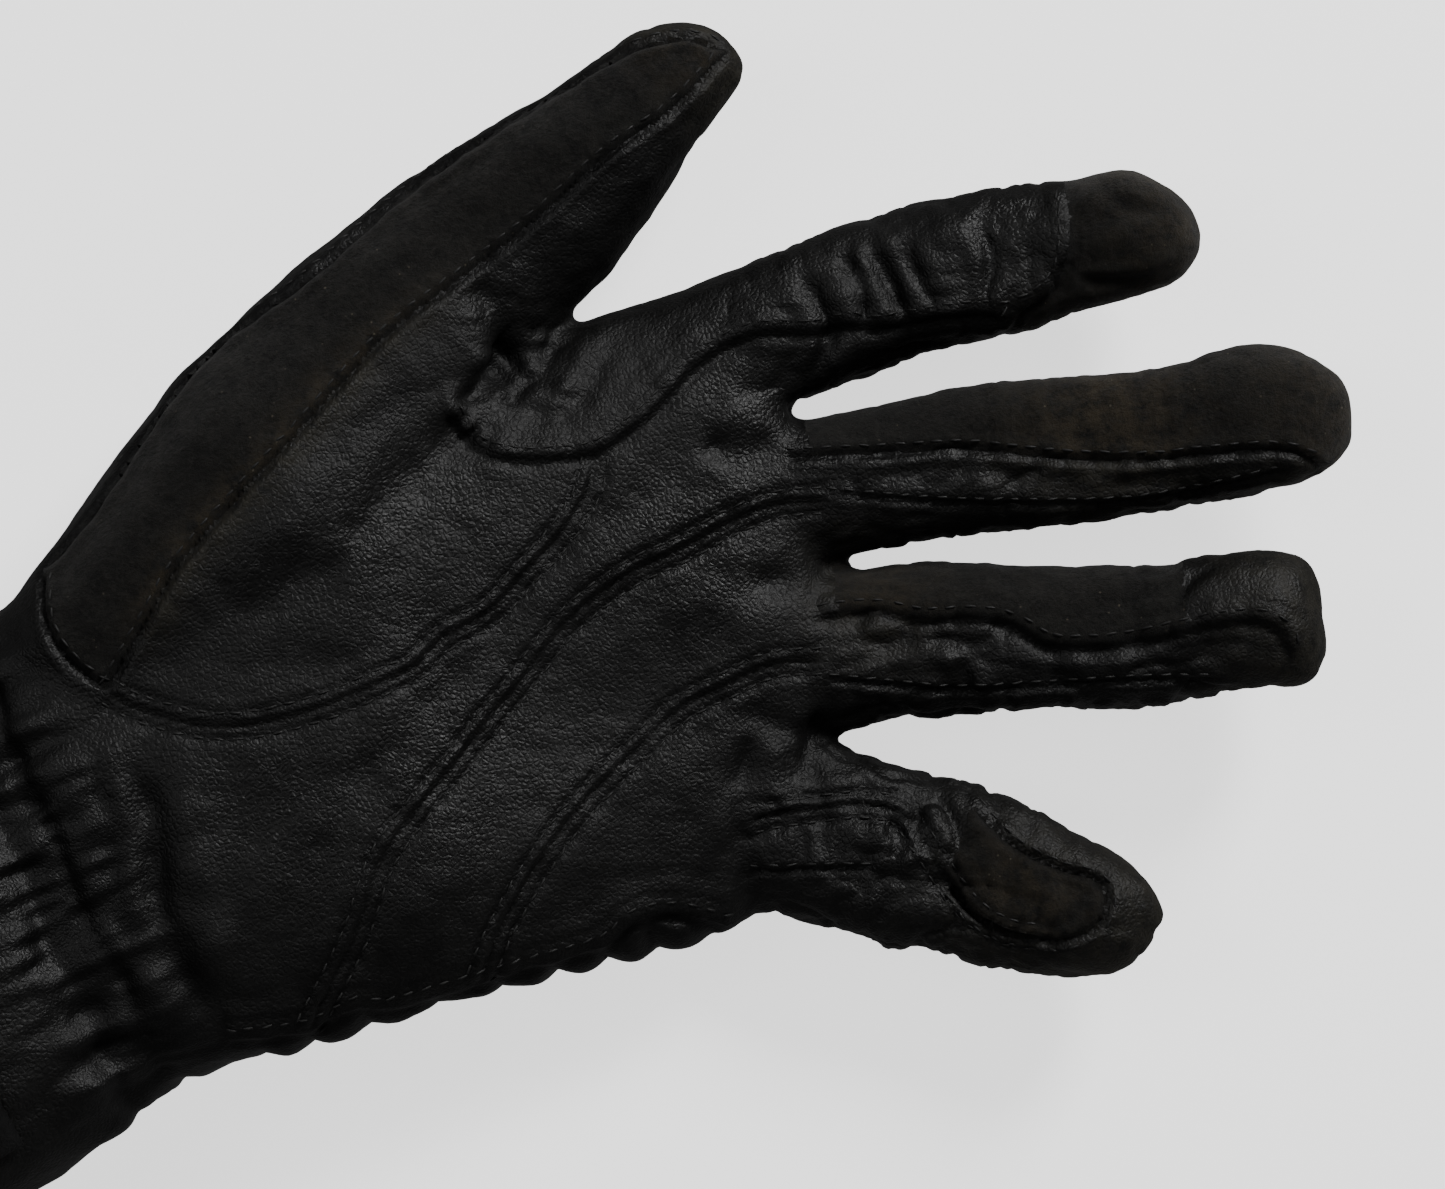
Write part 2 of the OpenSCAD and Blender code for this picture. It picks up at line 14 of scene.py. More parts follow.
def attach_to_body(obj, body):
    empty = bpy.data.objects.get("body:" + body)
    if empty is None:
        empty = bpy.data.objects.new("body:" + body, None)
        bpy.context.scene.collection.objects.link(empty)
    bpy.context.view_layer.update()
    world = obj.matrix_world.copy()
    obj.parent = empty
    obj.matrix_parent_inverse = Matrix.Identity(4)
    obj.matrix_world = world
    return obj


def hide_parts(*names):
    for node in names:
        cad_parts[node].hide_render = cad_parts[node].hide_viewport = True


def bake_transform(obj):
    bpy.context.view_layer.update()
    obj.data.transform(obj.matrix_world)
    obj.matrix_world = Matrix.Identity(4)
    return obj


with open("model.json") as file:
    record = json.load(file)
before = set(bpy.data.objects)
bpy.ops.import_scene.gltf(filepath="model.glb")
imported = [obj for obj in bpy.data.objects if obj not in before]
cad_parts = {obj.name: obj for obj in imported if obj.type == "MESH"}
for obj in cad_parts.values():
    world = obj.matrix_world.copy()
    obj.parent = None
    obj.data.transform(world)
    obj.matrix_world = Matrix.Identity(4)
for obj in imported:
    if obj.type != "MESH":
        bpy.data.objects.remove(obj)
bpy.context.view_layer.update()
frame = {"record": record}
JOINTS = {j["name"]: j for j in frame["record"]["behaviour"]["joints"]}
MM = 0.001


def joint_at(name):
    """Place of a joint, in millimetres."""
    return np.array(JOINTS[name]["pos_m"], float) / MM


WRIST = joint_at("wrist_bend")
LAYOUT = WRIST[:2] + np.array([7.0, 4.0])
FOREARM = np.cross(JOINTS["wrist_bend"]["axis"], (0, 0, -1))[:2]
ACROSS = np.array(JOINTS["wrist_bend"]["axis"][:2])
VOXEL = 1.4
FAR = 1000.0
LEATHER = 1.0
rng = np.random.default_rng(7)


# --- small maths
def unit(v):
    v = np.asarray(v, float)
    return v / np.linalg.norm(v)


def smooth(x, low, high):
    t = np.clip((np.asarray(x, float) - low) / (high - low), 0, 1)
    return t * t * (3 - 2 * t)


def bump(x, width):
    return np.exp(-(np.asarray(x, float) / width) ** 2)


LATTICE_SIDE = 48
LATTICE = np.random.default_rng(3).uniform(-1, 1, (LATTICE_SIDE,) * 3)


def field(points, size, seed=0):
    """Smooth noise from -1 to 1 whose lumps are about size millimetres across."""
    p = np.asarray(points, float) / size + seed * 7.31 + 1000.0
    i = np.floor(p).astype(int)
    f = p - i
    f = f * f * (3 - 2 * f)
    total = 0
    for dx in (0, 1):
        for dy in (0, 1):
            for dz in (0, 1):
                w = (f[:, 0] if dx else 1 - f[:, 0]) * (f[:, 1] if dy else 1 - f[:, 1])
                w = w * (f[:, 2] if dz else 1 - f[:, 2])
                corner = (i + (dx, dy, dz)) % LATTICE_SIDE
                total = total + w * LATTICE[corner[:, 0], corner[:, 1], corner[:, 2]]
    return total


def stretched(points, direction, along, across):
    """Coordinates for noise whose lumps are longer along a plan direction."""
    d = unit(np.asarray(direction, float)[:2])
    n = np.array([-d[1], d[0]])
    return np.stack([points[:, :2] @ d / along, points[:, :2] @ n / across, points[:, 2] / across], 1)


def steps_of(line):
    """Lengths of the steps between a curve's points."""
    return np.linalg.norm(np.diff(line, axis=0), axis=1)


def walked_along(line):
    """Distance from a curve's start to each of its points."""
    return np.concatenate([[0], np.cumsum(steps_of(line))])


def gap_to(p, x, y):
    """Plan distance from a layout point."""
    return np.linalg.norm(p[:, :2] - (LAYOUT + (x, y)), axis=1)


def streaks(a, b, c, seed):
    """Smooth noise of three coordinates that are already divided by the size of its lumps."""
    return field(np.stack([a, b, c], 1), 1.0, seed)


def curve(points, step=1.8):
    """Smooth plan curve through given layout points, moved into the frame."""
    p = np.array(points, float) + LAYOUT
    q = np.vstack([2 * p[0] - p[1], p, 2 * p[-1] - p[-2]])
    out = []
    for k in range(1, len(q) - 2):
        n = max(2, int(np.linalg.norm(q[k + 1] - q[k]) / step))
        t = np.arange(n)[:, None] / n
        a, b, c, d = q[k - 1], q[k], q[k + 1], q[k + 2]
        out.append(0.5 * (2 * b + (c - a) * t + (2 * a - 5 * b + 4 * c - d) * t ** 2
                          + (3 * b - a - 3 * c + d) * t ** 3))
    return np.vstack(out + [p[-1:]])


def to_line(xy, line, reach=None):
    """Distance to a curve, signed to its left, the place along it, and the nearest point.

    With a reach, points further than that from the curve's box are skipped and count as far away.
    """
    if reach is not None:
        low, high = line.min(0) - reach, line.max(0) + reach
        close = ((xy > low) & (xy < high)).all(1)
        signed, place, near = np.full(len(xy), FAR), np.zeros(len(xy)), xy.copy()
        if close.any():
            signed[close], place[close], near[close] = to_line(xy[close], line)
        return signed, place, near
    best = np.full(len(xy), FAR)
    signed, place, near = np.full(len(xy), FAR), np.zeros(len(xy)), xy.copy()
    walked = 0.0
    for a, b in zip(line[:-1], line[1:]):
        d = b - a
        length = np.linalg.norm(d)
        if length < 1e-9:
            continue
        t = np.clip(((xy - a) @ d) / length ** 2, 0, 1)
        foot = a + t[:, None] * d
        gap = np.linalg.norm(xy - foot, axis=1)
        side = np.where(d[0] * (xy[:, 1] - a[1]) - d[1] * (xy[:, 0] - a[0]) < 0, -1.0, 1.0)
        closer = gap < best
        best[closer] = gap[closer]
        signed[closer] = (gap * side)[closer]
        place[closer] = walked + t[closer] * length
        near[closer] = foot[closer]
        walked += length
    return signed, place, near


def within(xy, polygon):
    """Which points lie inside a closed plan outline."""
    inside = np.zeros(len(xy), bool)
    for p, q in zip(polygon, np.roll(polygon, -1, axis=0)):
        if p[1] == q[1]:
            continue
        hit = (p[1] > xy[:, 1]) != (q[1] > xy[:, 1])
        x = p[0] + (xy[:, 1] - p[1]) * (q[0] - p[0]) / (q[1] - p[1])
        inside ^= hit & (xy[:, 0] < x)
    return inside


# --- seam lines, in plan
SEAMS = []


def seam(kind, points):
    """Curve of a seam, which also joins the list of seams."""
    line = curve(points)
    SEAMS.append((line, kind))
    return line


STRIP_EDGE = seam("closed", [
    (-9, 38), (-2, 46), (9, 62.5), (17, 71.5), (30, 81), (42, 92), (54.5, 101), (67.5, 109), (76, 113.7),
    (84, 115.6), (90.5, 113.8)])
STRIP_SEAM = seam("closed", [
    (1, 20.7), (7, 31), (12.5, 40), (27, 56.3), (41, 71.9), (53, 81.5), (63.3, 89.7), (73, 98.4),
    (82.6, 105.3), (90.5, 113.8)])
STRIP_ROOT = seam("closed", [
    (-9, 38), (-8, 30.5), (-4.5, 25), (1, 20.7)])
THENAR = seam("double", [
    (1, 20.7), (5, 18.3), (14.4, 15.8), (22, 15.8), (32, 18.3), (39.6, 21.5), (45.4, 24.2), (49.4, 28.3),
    (55.7, 31.8), (61.5, 38.1), (66, 43), (70, 49.4), (71.3, 55.4)])
INDEX_SEAM = seam("raised", [
    (50.2, 61.1), (54.2, 56), (60, 54.4), (65.5, 54.6), (71.3, 55.4), (76.6, 59), (81, 63), (86, 68.3),
    (92.3, 72.2), (97, 73.1), (103, 73), (108, 74.2), (112, 73.7), (118.7, 74.8), (126.4, 75.8),
    (132.3, 75.6)])
CAP_SEAM = seam("raised", [
    (129, 66.5), (132.3, 75.4), (135.4, 77.2), (138.6, 80.4), (140, 84), (140.3, 89), (139.5, 96)])
MIDDLE_SEAM = seam("double", [
    (29.6, -28.5), (36.5, -15.1), (40.6, -3.7), (47.2, 5.4), (51.3, 10.3), (55.7, 16.1), (60.5, 22),
    (66, 29.2), (70.8, 33.7), (77.2, 38.1), (83.5, 41), (90.8, 45), (98.2, 47.8), (106, 48.3)])
RING_SEAM = seam("double", [
    (54.2, -21.6), (58.3, -12.5), (65, -1.7), (71.3, 6), (77.6, 12.2), (83.5, 17.8), (90.8, 21.5),
    (97.1, 24.3), (105, 24.8)])
ULNAR_SEAM = seam("raised", [
    (17.6, -30.2), (29.6, -28.6), (37, -25.2), (40.6, -25.8), (51.4, -22.8), (61, -20), (72.7, -16.6),
    (77, -13), (83, -12), (92.4, -14.6)])
MIDDLE_STRIP = seam("closed", [
    (98.6, 54.6), (113, 55.2), (124.8, 55.8), (132.3, 55.1), (140, 54.3), (152.4, 54), (158.5, 54.7),
    (169.8, 55.4), (175.4, 54), (180, 50)])
# middle finger, low side
seam("fine", [
    (104.7, 49.2), (121, 47.9), (133, 47.6), (148.6, 47.9), (161, 50), (172, 52.6)])
RING_STRIP = seam("raised", [
    (103.5, 31.4), (108, 32.1), (113, 32.2), (119, 31), (125.7, 31.3), (130, 30.9), (133.5, 29.6),
    (136.6, 27.6), (141, 27), (148.8, 27.6), (157.8, 29.6), (163, 30.7), (168, 30.8), (171.4, 28.8),
    (172.4, 24.5)])
# ring finger, low side
seam("fine", [
    (105, 22), (116.2, 20.9), (124.5, 20.3), (136, 20.9), (150, 21.8), (163, 22)])
# little finger, above its pad
seam("double", [
    (93.6, 1.4), (98.7, 2.5), (105, 3.3), (110, 3.8), (115.6, 2.6), (119.5, -2.5), (123.1, -8),
    (126.4, -12), (131.6, -14.9), (138, -15.8)])
LITTLE_PATCH = seam("closed", [
    (126.4, 4), (128.3, 1.6), (131.6, -1.8), (135.4, -4.1), (140, -6), (144, -7), (145.8, -9.8),
    (144.2, -13.9), (138.6, -16.1), (131.6, -15.2), (126, -12), (122.6, -7)])
# band across the little finger
seam("fine", [
    (93.5, -6.2), (101, -5.9), (108, -5.7), (113, -5.9)])


# --- base form
RING_POINTS = 44


def squarish(angle, power):
    """Cosine and sine of an angle, on a rounded square."""
    c, s = math.cos(angle), math.sin(angle)
    return math.copysign(abs(c) ** (2 / power), c), math.copysign(abs(s) ** (2 / power), s)


def ring(middle, side, up, low, high, half, square, bulge=0.0):
    """Rounded cross-section: low and high reach to either side, half above and below."""
    out = []
    for k in range(RING_POINTS):
        c, s = squarish(2 * math.pi * k / RING_POINTS, square)
        lateral = (high + low) / 2 + (high - low) / 2 * c
        out.append(middle + side * lateral + up * half * s + bulge * (1 - c * c))
    return np.array(out)


def band_faces(rows, count, wrap=None):
    """Quads between neighbouring closed rows of count points; wrap joins the last row to the first."""
    faces = []
    for i in range(rows):
        a = i * count
        b = ((i + 1) % wrap if wrap else i + 1) * count
        for k in range(count):
            after = (k + 1) % count
            faces.append((a + k, a + after, b + after, b + k))
    return faces


def loft(rings):
    """Closed form through a list of cross-sections."""
    n = RING_POINTS
    last = (len(rings) - 1) * n
    caps = [tuple(reversed(range(n))), tuple(range(last, last + n))]
    return [p for r in rings for p in r], caps + band_faces(len(rings) - 1, n)


UP = np.array([0.0, 0.0, 1.0])
# Finger sections: place along the finger, its two edges, and its half thickness
FINGER_FORM = {
    "index": [
        (-30, -8, 6, 9), (-6, -11, 9, 9.8), (0, -11.3, 9.6, 10), (5, -11.6, 10.4, 10),
        (11, -11.6, 11.2, 9.8), (17, -10.6, 12.1, 9.8), (23, -9.8, 12.3, 9.5), (31, -10.6, 12.5, 9.6),
        (40, -10.5, 11.9, 9.4), (46, -9.7, 11, 9), (50, -9.3, 9.8, 8.8), (55, -9, 10.4, 9),
        (59, -8.8, 9.8, 8.6), (62.5, -8.2, 7.2, 7.4), (65.2, -6.8, 4.4, 5.4), (66.8, -4.6, 1.4, 2.6)],
    "middle": [
        (-30, -8, 8, 9), (-6, -10, 9.6, 10), (0, -10.8, 10, 10.2), (8, -9.7, 10.9, 10),
        (20, -9.8, 11.9, 10), (29, -10.5, 12.2, 9.8), (43, -11.2, 10.9, 9.5), (55, -11.1, 10, 9.1),
        (61, -11, 11, 9), (67, -10.9, 11.5, 8.8), (71, -10.4, 10.6, 8.2), (74.8, -9.2, 8.2, 6.8),
        (77.8, -6.8, 5, 4.8), (79.4, -3.8, 1.6, 2.2)],
    "ring": [
        (-30, -8, 8, 9), (-6, -10.5, 10, 9.8), (0, -11.6, 10.8, 10), (6, -11.6, 11.3, 9.8),
        (19, -10.7, 11.3, 9.6), (33, -11, 9.5, 9.3), (43, -11.6, 9.4, 9), (51, -11, 8.9, 8.6),
        (56, -10.8, 9.7, 8.8), (63, -10.6, 10.3, 8.6), (67.5, -10.7, 9.3, 7.8), (70, -9.6, 7.6, 5.8),
        (71.2, -7.6, 5, 3.2)],
    "little": [
        (-30, -8, 8, 8.5), (-6, -12, 11, 9.4), (0, -13, 12.6, 9.8), (8, -12.9, 13.1, 9.8),
        (14, -13.6, 12.8, 9.6), (18, -14.2, 12.8, 9.4), (21, -13, 13.6, 9.4), (26, -12.1, 12.7, 9.2),
        (33, -12.3, 11.8, 9), (39, -11.9, 10.8, 8.8), (45, -10.7, 9.4, 8.3), (49.6, -8.6, 7.9, 7),
        (53.2, -5.6, 5.8, 5), (55.6, -2.2, 3, 2.4)],
}
THUMB_FORM = [
    (-14, -17, 15.5, 14), (0, -16, 15, 13), (12, -15.2, 13, 12.4), (22, -12.8, 10.9, 12),
    (33, -9.7, 10.2, 10.8), (39.5, -8.2, 9.6, 9.4), (44, -7.6, 7.4, 7.6), (47.2, -6.6, 5, 5.4),
    (49.2, -4.8, 2, 2.6)]
PALM_FORM = [
    ((8, -37), (-20, 30.5), 18.2, 0), ((18, -34), (-8, 36.5), 18, 0), ((33, -30.5), (13, 46), 17.8, 0),
    ((51, -25), (36, 56), 16.8, 0), ((66, -21.5), (54, 66), 15, 0), ((80, -17.8), (71, 75.5), 13, 1),
    ((91, -15), (86, 80.5), 11.4, 4), ((96, -11), (91, 80), 10.2, 9), ((98, -4), (93, 72), 7, 10)]
THENAR_FORM = [
    (0, -13, 14, 17, 18.5), (0.2, -20, 15.8, 18.2, 18.6), (0.5, -22, 19.2, 18, 17.8),
    (0.8, -19, 17.9, 15.2, 15.8), (1, -15.5, 15.2, 12.8, 14.2)]
CUFF_FORM = [
    (-16, -38, 37, 17.8), (-4, -38, 37, 17.6), (0, -37.6, 36.8, 17.4), (4, -38.4, 37.5, 17.8),
    (10, -40.5, 39.6, 19.4), (20, -42.5, 41.6, 20.8), (34, -44.4, 43.6, 22.4), (50, -46, 45.5, 24),
    (56, -46.5, 46, 24.4)]
FINGERS = list(FINGER_FORM)


def finger_axis(name):
    """Root, plan direction, plan side, and the heights of the finger's middle line."""
    joints = [joint_at(f"{name}_{part}_bend") for part in ("base", "mid", "tip")]
    along = np.append(unit(joints[1][:2] - joints[0][:2]), 0)
    side = np.array([-along[1], along[0], 0])
    places = [float((j - joints[0]) @ along) for j in joints]
    heights = [j[2] - 3 for j in joints]
    rise = math.tan(math.radians(14))
    return joints[0], along, side, places + [places[2] + 40], heights + [heights[2] + 40 * rise]


def finger_rings(name):
    root, along, side, places, heights = finger_axis(name)
    rings = []
    for s, low, high, half in FINGER_FORM[name]:
        z = float(np.interp(s, places, heights))
        middle = np.array([root[0], root[1], 0]) + along * s + UP * z
        tilt = math.radians(float(np.interp(s, [0, places[1], places[2]], [3, 8, 14])) if s > 0 else 0)
        up = UP * math.cos(tilt) - along * math.sin(tilt)
        rings.append(ring(middle, side, up, low, high, half, 2.6))
    return rings


THUMB_ALONG = np.append(unit(joint_at("thumb_tip_bend")[:2] - joint_at("thumb_base_bend")[:2]), 0)
THUMB_SIDE = np.array([-THUMB_ALONG[1], THUMB_ALONG[0], 0])
THUMB_ROOT = np.append(LAYOUT + (53, 84.5), 14.0)
THENAR_FROM = LAYOUT + (-6, 22)
THENAR_AXIS = THUMB_ROOT[:2] - THENAR_FROM


def thumb_rings():
    out = []
    for s, low, high, half in THUMB_FORM:
        middle = THUMB_ROOT + THUMB_ALONG * s + UP * (0.10 * max(s, 0))
        out.append(ring(middle, THUMB_SIDE, UP, low, high, half, 2.3))
    return out


def thenar_rings():
    side = np.append(unit([-THENAR_AXIS[1], THENAR_AXIS[0]]), 0)
    out = []
    for t, low, high, half, z in THENAR_FORM:
        middle = np.append(THENAR_FROM + THENAR_AXIS * t, z)
        out.append(ring(middle, side, UP, low, high, half, 2.4))
    return out


def palm_rings():
    out = []
    for ulnar, radial, half, reach in PALM_FORM:
        a, b = LAYOUT + ulnar, LAYOUT + radial
        middle = np.append((a + b) / 2, half + 0.4)
        side = np.append(unit(b - a), 0)
        width = np.linalg.norm(b - a) / 2
        out.append(ring(middle, side, UP, -width, width, half, 2.9, np.array([reach, 0.0, 0.0])))
    return out


def cuff_rings():
    out = []
    for s, low, high, half in CUFF_FORM:
        middle = np.append(WRIST[:2] + FOREARM * s, half + 0.4)
        out.append(ring(middle, np.append(ACROSS, 0), UP, low, high, half, 2.6))
    return out


def placed(name, data):
    """New object in the scene."""
    obj = bpy.data.objects.new(name, data)
    bpy.context.scene.collection.objects.link(obj)
    return obj


def mesh_of(name, verts, faces):
    mesh = bpy.data.meshes.new(name)
    mesh.from_pydata([tuple(v) for v in verts], [], faces)
    mesh.validate()
    mesh.update()
    return placed(name, mesh)


def evaluated(obj):
    """Vertices and quads of an object after its modifiers, and the object is removed."""
    depsgraph = bpy.context.evaluated_depsgraph_get()
    mesh = obj.evaluated_get(depsgraph).to_mesh()
    verts = np.empty(len(mesh.vertices) * 3)
    mesh.vertices.foreach_get("co", verts)
    faces = [tuple(p.vertices) for p in mesh.polygons]
    bpy.data.objects.remove(obj, do_unlink=True)
    return verts.reshape(-1, 3), faces


def join_forms():
    """All lofts in one mesh, made into one skin by a voxel remesh."""
    verts, faces = [], []
    forms = [finger_rings(f) for f in FINGERS] + [thumb_rings(), thenar_rings(), palm_rings(), cuff_rings()]
    for rings in forms:
        v, f = loft(rings)
        faces += [tuple(i + len(verts) for i in face) for face in f]
        verts += v
    obj = mesh_of("form", verts, faces)
    remesh = obj.modifiers.new("remesh", "REMESH")
    remesh.mode = "VOXEL"
    remesh.voxel_size = VOXEL
    return evaluated(obj)


class Net:
    """Neighbour averaging on a mesh."""

    def __init__(self, count, faces):
        pairs = set()
        for f in faces:
            for a, b in zip(f, f[1:] + f[:1]):
                pairs.add((a, b) if a < b else (b, a))
        self.pairs = np.array(sorted(pairs))
        self.degree = np.bincount(self.pairs.ravel(), minlength=count).astype(float)

    def mean(self, values):
        out = np.zeros_like(values)
        np.add.at(out, self.pairs[:, 0], values[self.pairs[:, 1]])
        np.add.at(out, self.pairs[:, 1], values[self.pairs[:, 0]])
        return out / (self.degree[:, None] if values.ndim > 1 else self.degree)


def relax(verts, net, times, share=0.5):
    for _ in range(times):
        verts = verts + (net.mean(verts) - verts) * share
    return verts


def normals_of(verts, quads):
    """Area-weighted vertex normals of an all-quad mesh."""
    d1 = verts[quads[:, 2]] - verts[quads[:, 0]]
    d2 = verts[quads[:, 3]] - verts[quads[:, 1]]
    n = np.cross(d1, d2)
    out = np.zeros_like(verts)
    for k in range(4):
        np.add.at(out, quads[:, k], n)
    return out / np.maximum(np.linalg.norm(out, axis=1), 1e-12)[:, None]


def subdivided(verts, faces):
    obj = mesh_of("coarse", verts, faces)
    level = obj.modifiers.new("subdivide", "SUBSURF")
    level.levels = 1
    level.render_levels = 1
    return evaluated(obj)


# --- where things are on the skin
def wrist_place(p):
    """Distance from the wrist line towards the fingers, and across it towards the thumb."""
    d = p[:, :2] - WRIST[:2]
    return -(d @ FOREARM), d @ ACROSS


WEB_LINES = [((98.6, 60.2), 0.27), ((107.8, 38.8), 0.114), ((105.3, 12.9), -0.105)]


def lane_of(p):
    """Which finger's lane each point is in, 0 for the index finger."""
    lane = np.zeros(len(p), int)
    for (x, y), slope in WEB_LINES:
        edge = LAYOUT[1] + y + (p[:, 0] - LAYOUT[0] - x) * slope
        lane += p[:, 1] < edge
    return lane


def finger_place(p, name):
    root, along, side, _, _ = finger_axis(name)
    d = p - root
    return d @ along, d @ side


def thumb_place(p):
    d = p - THUMB_ROOT
    return d @ THUMB_ALONG, d @ THUMB_SIDE


def on_thumb(p):
    s, t = thumb_place(p)
    return (s > 0.5) & (t > -16.8) & (p[:, 1] - LAYOUT[1] > 66)


# --- sculpting
ROW_GAP = 1.9
SEAM_SHAPE = {
    "double": lambda d: (-0.45 * bump(np.abs(d) - ROW_GAP, 0.5) - 0.65 * bump(d, 0.45)
                         + 0.3 * np.tanh(d / 0.5) * bump(d, 5)),
    "closed": lambda d: -0.75 * bump(d, 0.5) + 0.32 * bump(np.abs(d) - 1.25, 0.8),
    "raised": lambda d: (0.8 * smooth(d, -0.45, 0.35) * (1 - smooth(d, 1.8, 6.5))
                         - 0.4 * bump(d + 0.95, 0.6) - 0.25 * bump(d - 2.9, 0.5)),
    "fine": lambda d: -0.45 * bump(d, 0.45) + 0.15 * bump(np.abs(d) - 1.0, 0.6),
}
STITCH_PITCH = 2.7

# Folds: layout points, depth (negative is a ridge), width
FOLDS = [
    ([(3.5, 14), (6.2, 7), (7.8, 0), (8.6, -9), (11.5, -18), (14, -24), (20, -29)], 1.7, 2.8),
    ([(-3, 16), (-1, 8), (1.6, 0), (2.2, -10), (6.4, -20)], 1.0, 2.0),
    ([(10.5, 8), (13.2, -3), (14, -13), (19, -23)], -1.0, 4.2),
    ([(95.4, 17), (93.2, 10), (92.2, 2), (93.3, -6), (92.4, -13.5)], 0.95, 1.7),
    ([(98, 14), (97.2, 8), (97.8, 2)], -0.6, 2.0),
    ([(100.4, 82), (103.4, 78), (105.4, 73), (104, 68), (100, 64.5)], 0.9, 1.2),
    ([(106.5, 85), (109, 81), (110.4, 76.5), (111.6, 73)], 1.3, 1.1),
    ([(110.5, 86.5), (113.4, 82), (115.4, 77.5), (117, 73.5)], 1.6, 1.3),
    ([(115.6, 87.5), (117.2, 83), (119.4, 78.5), (122, 75)], 1.1, 1.2),
    ([(126, 90), (128.4, 86), (128.8, 81), (127.4, 76)], 0.8, 1.0),
    ([(134.4, 90), (134.8, 84), (133.8, 78)], 0.35, 0.9),
    ([(104, 66), (110, 68), (116, 70), (124, 71.5)], 0.5, 1.2),
    ([(99, 63.5), (104, 67.5), (110, 71)], -0.4, 1.4),
    ([(112, 51.5), (120, 52.6), (130, 52.4), (138, 51.5)], 0.45, 1.1),
    ([(108, 52), (114, 53.5), (120, 53.2)], -0.4, 1.2),
    ([(130, 49.5), (134, 52), (138, 53.5)], 0.6, 0.9),
    ([(146, 50.5), (152, 51.8), (160, 52.3)], 0.35, 0.9),
    ([(105, 28), (112, 27.4), (120, 28.2), (127, 27)], 0.7, 1.0),
    ([(106, 24.6), (114, 24.2), (121, 25.2), (128, 24.2)], -0.5, 1.2),
    ([(124.6, 25.5), (125.5, 22.5), (126.5, 19.8)], 0.8, 0.8),
    ([(156, 31), (156.6, 34.5), (158.5, 37), (163.4, 38.4)], 0.8, 0.9),
    ([(150, 25), (156, 26.4), (163, 27.4), (168, 26.8)], 0.45, 1.0),
    ([(140.5, 80.5), (146, 79.8), (152, 80.5), (157, 83.5)], 0.75, 0.9),
    ([(143, 96.5), (146.5, 92.5), (151, 90.5), (156, 91)], 0.5, 1.3),
    ([(142, 87), (146, 86), (150, 87.5)], -0.45, 1.6),
    ([(132, 24.4), (138, 24.6), (146, 24.4), (154, 24.9)], -0.4, 1.2),
    ([(103, 18.5), (103.5, 14), (101, 9)], 0.9, 1.3),
    ([(99, 7), (104, 9.4), (110, 8.6)], 0.5, 1.0),
    ([(106.5, 1), (106.9, -3), (106.2, -6)], 0.7, 0.8),
    ([(101, 1), (101.6, -3), (100.8, -6)], 0.45, 0.8),
    ([(113.6, 3), (115.5, -2.5), (113.5, -7)], 0.9, 1.0),
    ([(117.5, 4), (119, 0), (121.5, -4.5)], 0.7, 1.0),
    ([(121, 7), (122.6, 3), (124.6, -1), (125.6, -5)], 0.9, 1.0),
    ([(126.2, 6), (127.8, 0.5), (130, -3.4)], -0.5, 1.1),
    ([(112.6, -7), (113.4, -11), (112, -14)], 0.8, 0.9),
    ([(53, 81), (57, 74.5), (58.5, 68.5), (56, 62.5)], 1.9, 2.3),
    ([(62, 72.5), (57, 67.5), (51, 60.5)], 1.4, 1.3),
    ([(64.5, 73), (60, 70.5), (55.5, 66.5)], -0.9, 1.1),
    ([(66.5, 72.5), (62, 66.5), (57.5, 61.5)], 0.9, 1.1),
    ([(70.5, 72), (66, 64), (62.5, 58.5)], -0.6, 1.4),
    ([(75, 73), (71.5, 66), (68.5, 60)], 0.45, 1.3),
    ([(18, 33), (27, 41), (37, 46), (46, 49)], -0.6, 5.0),
    ([(30, 52), (38, 58), (46, 63), (52, 66)], 0.5, 3.0),
    ([(24, 22), (34, 25), (44, 31), (53, 39)], 0.5, 3.5),
    ([(34, 4), (41, 12), (47, 20), (56, 28)], 0.55, 3.2),
    ([(62, 30), (72, 38), (84, 46), (94, 52)], -0.4, 3.0),
    ([(86, 58), (93, 55), (99, 57)], 0.9, 2.2),
    ([(88, 36), (96, 36), (103, 38)], 0.8, 2.2),
    ([(92, 18), (99, 15), (104, 13.5)], 0.8, 2.0),
]
# Soft mounds and hollows of the palm: layout point, height, radius
MOUNDS = [
    ((66, 20), -2.4, 19), ((34, 44), 1.2, 17), ((44, -8), 1.0, 17), ((92, 62), 0.8, 8), ((96, 30), 0.8,
    9), ((22, -8), 0.6, 12), ((50.5, 61.5), 1.5, 2.6), ((121.5, 81), 1.0, 5), ((107.2, 78.5), 0.7, 2.6)]


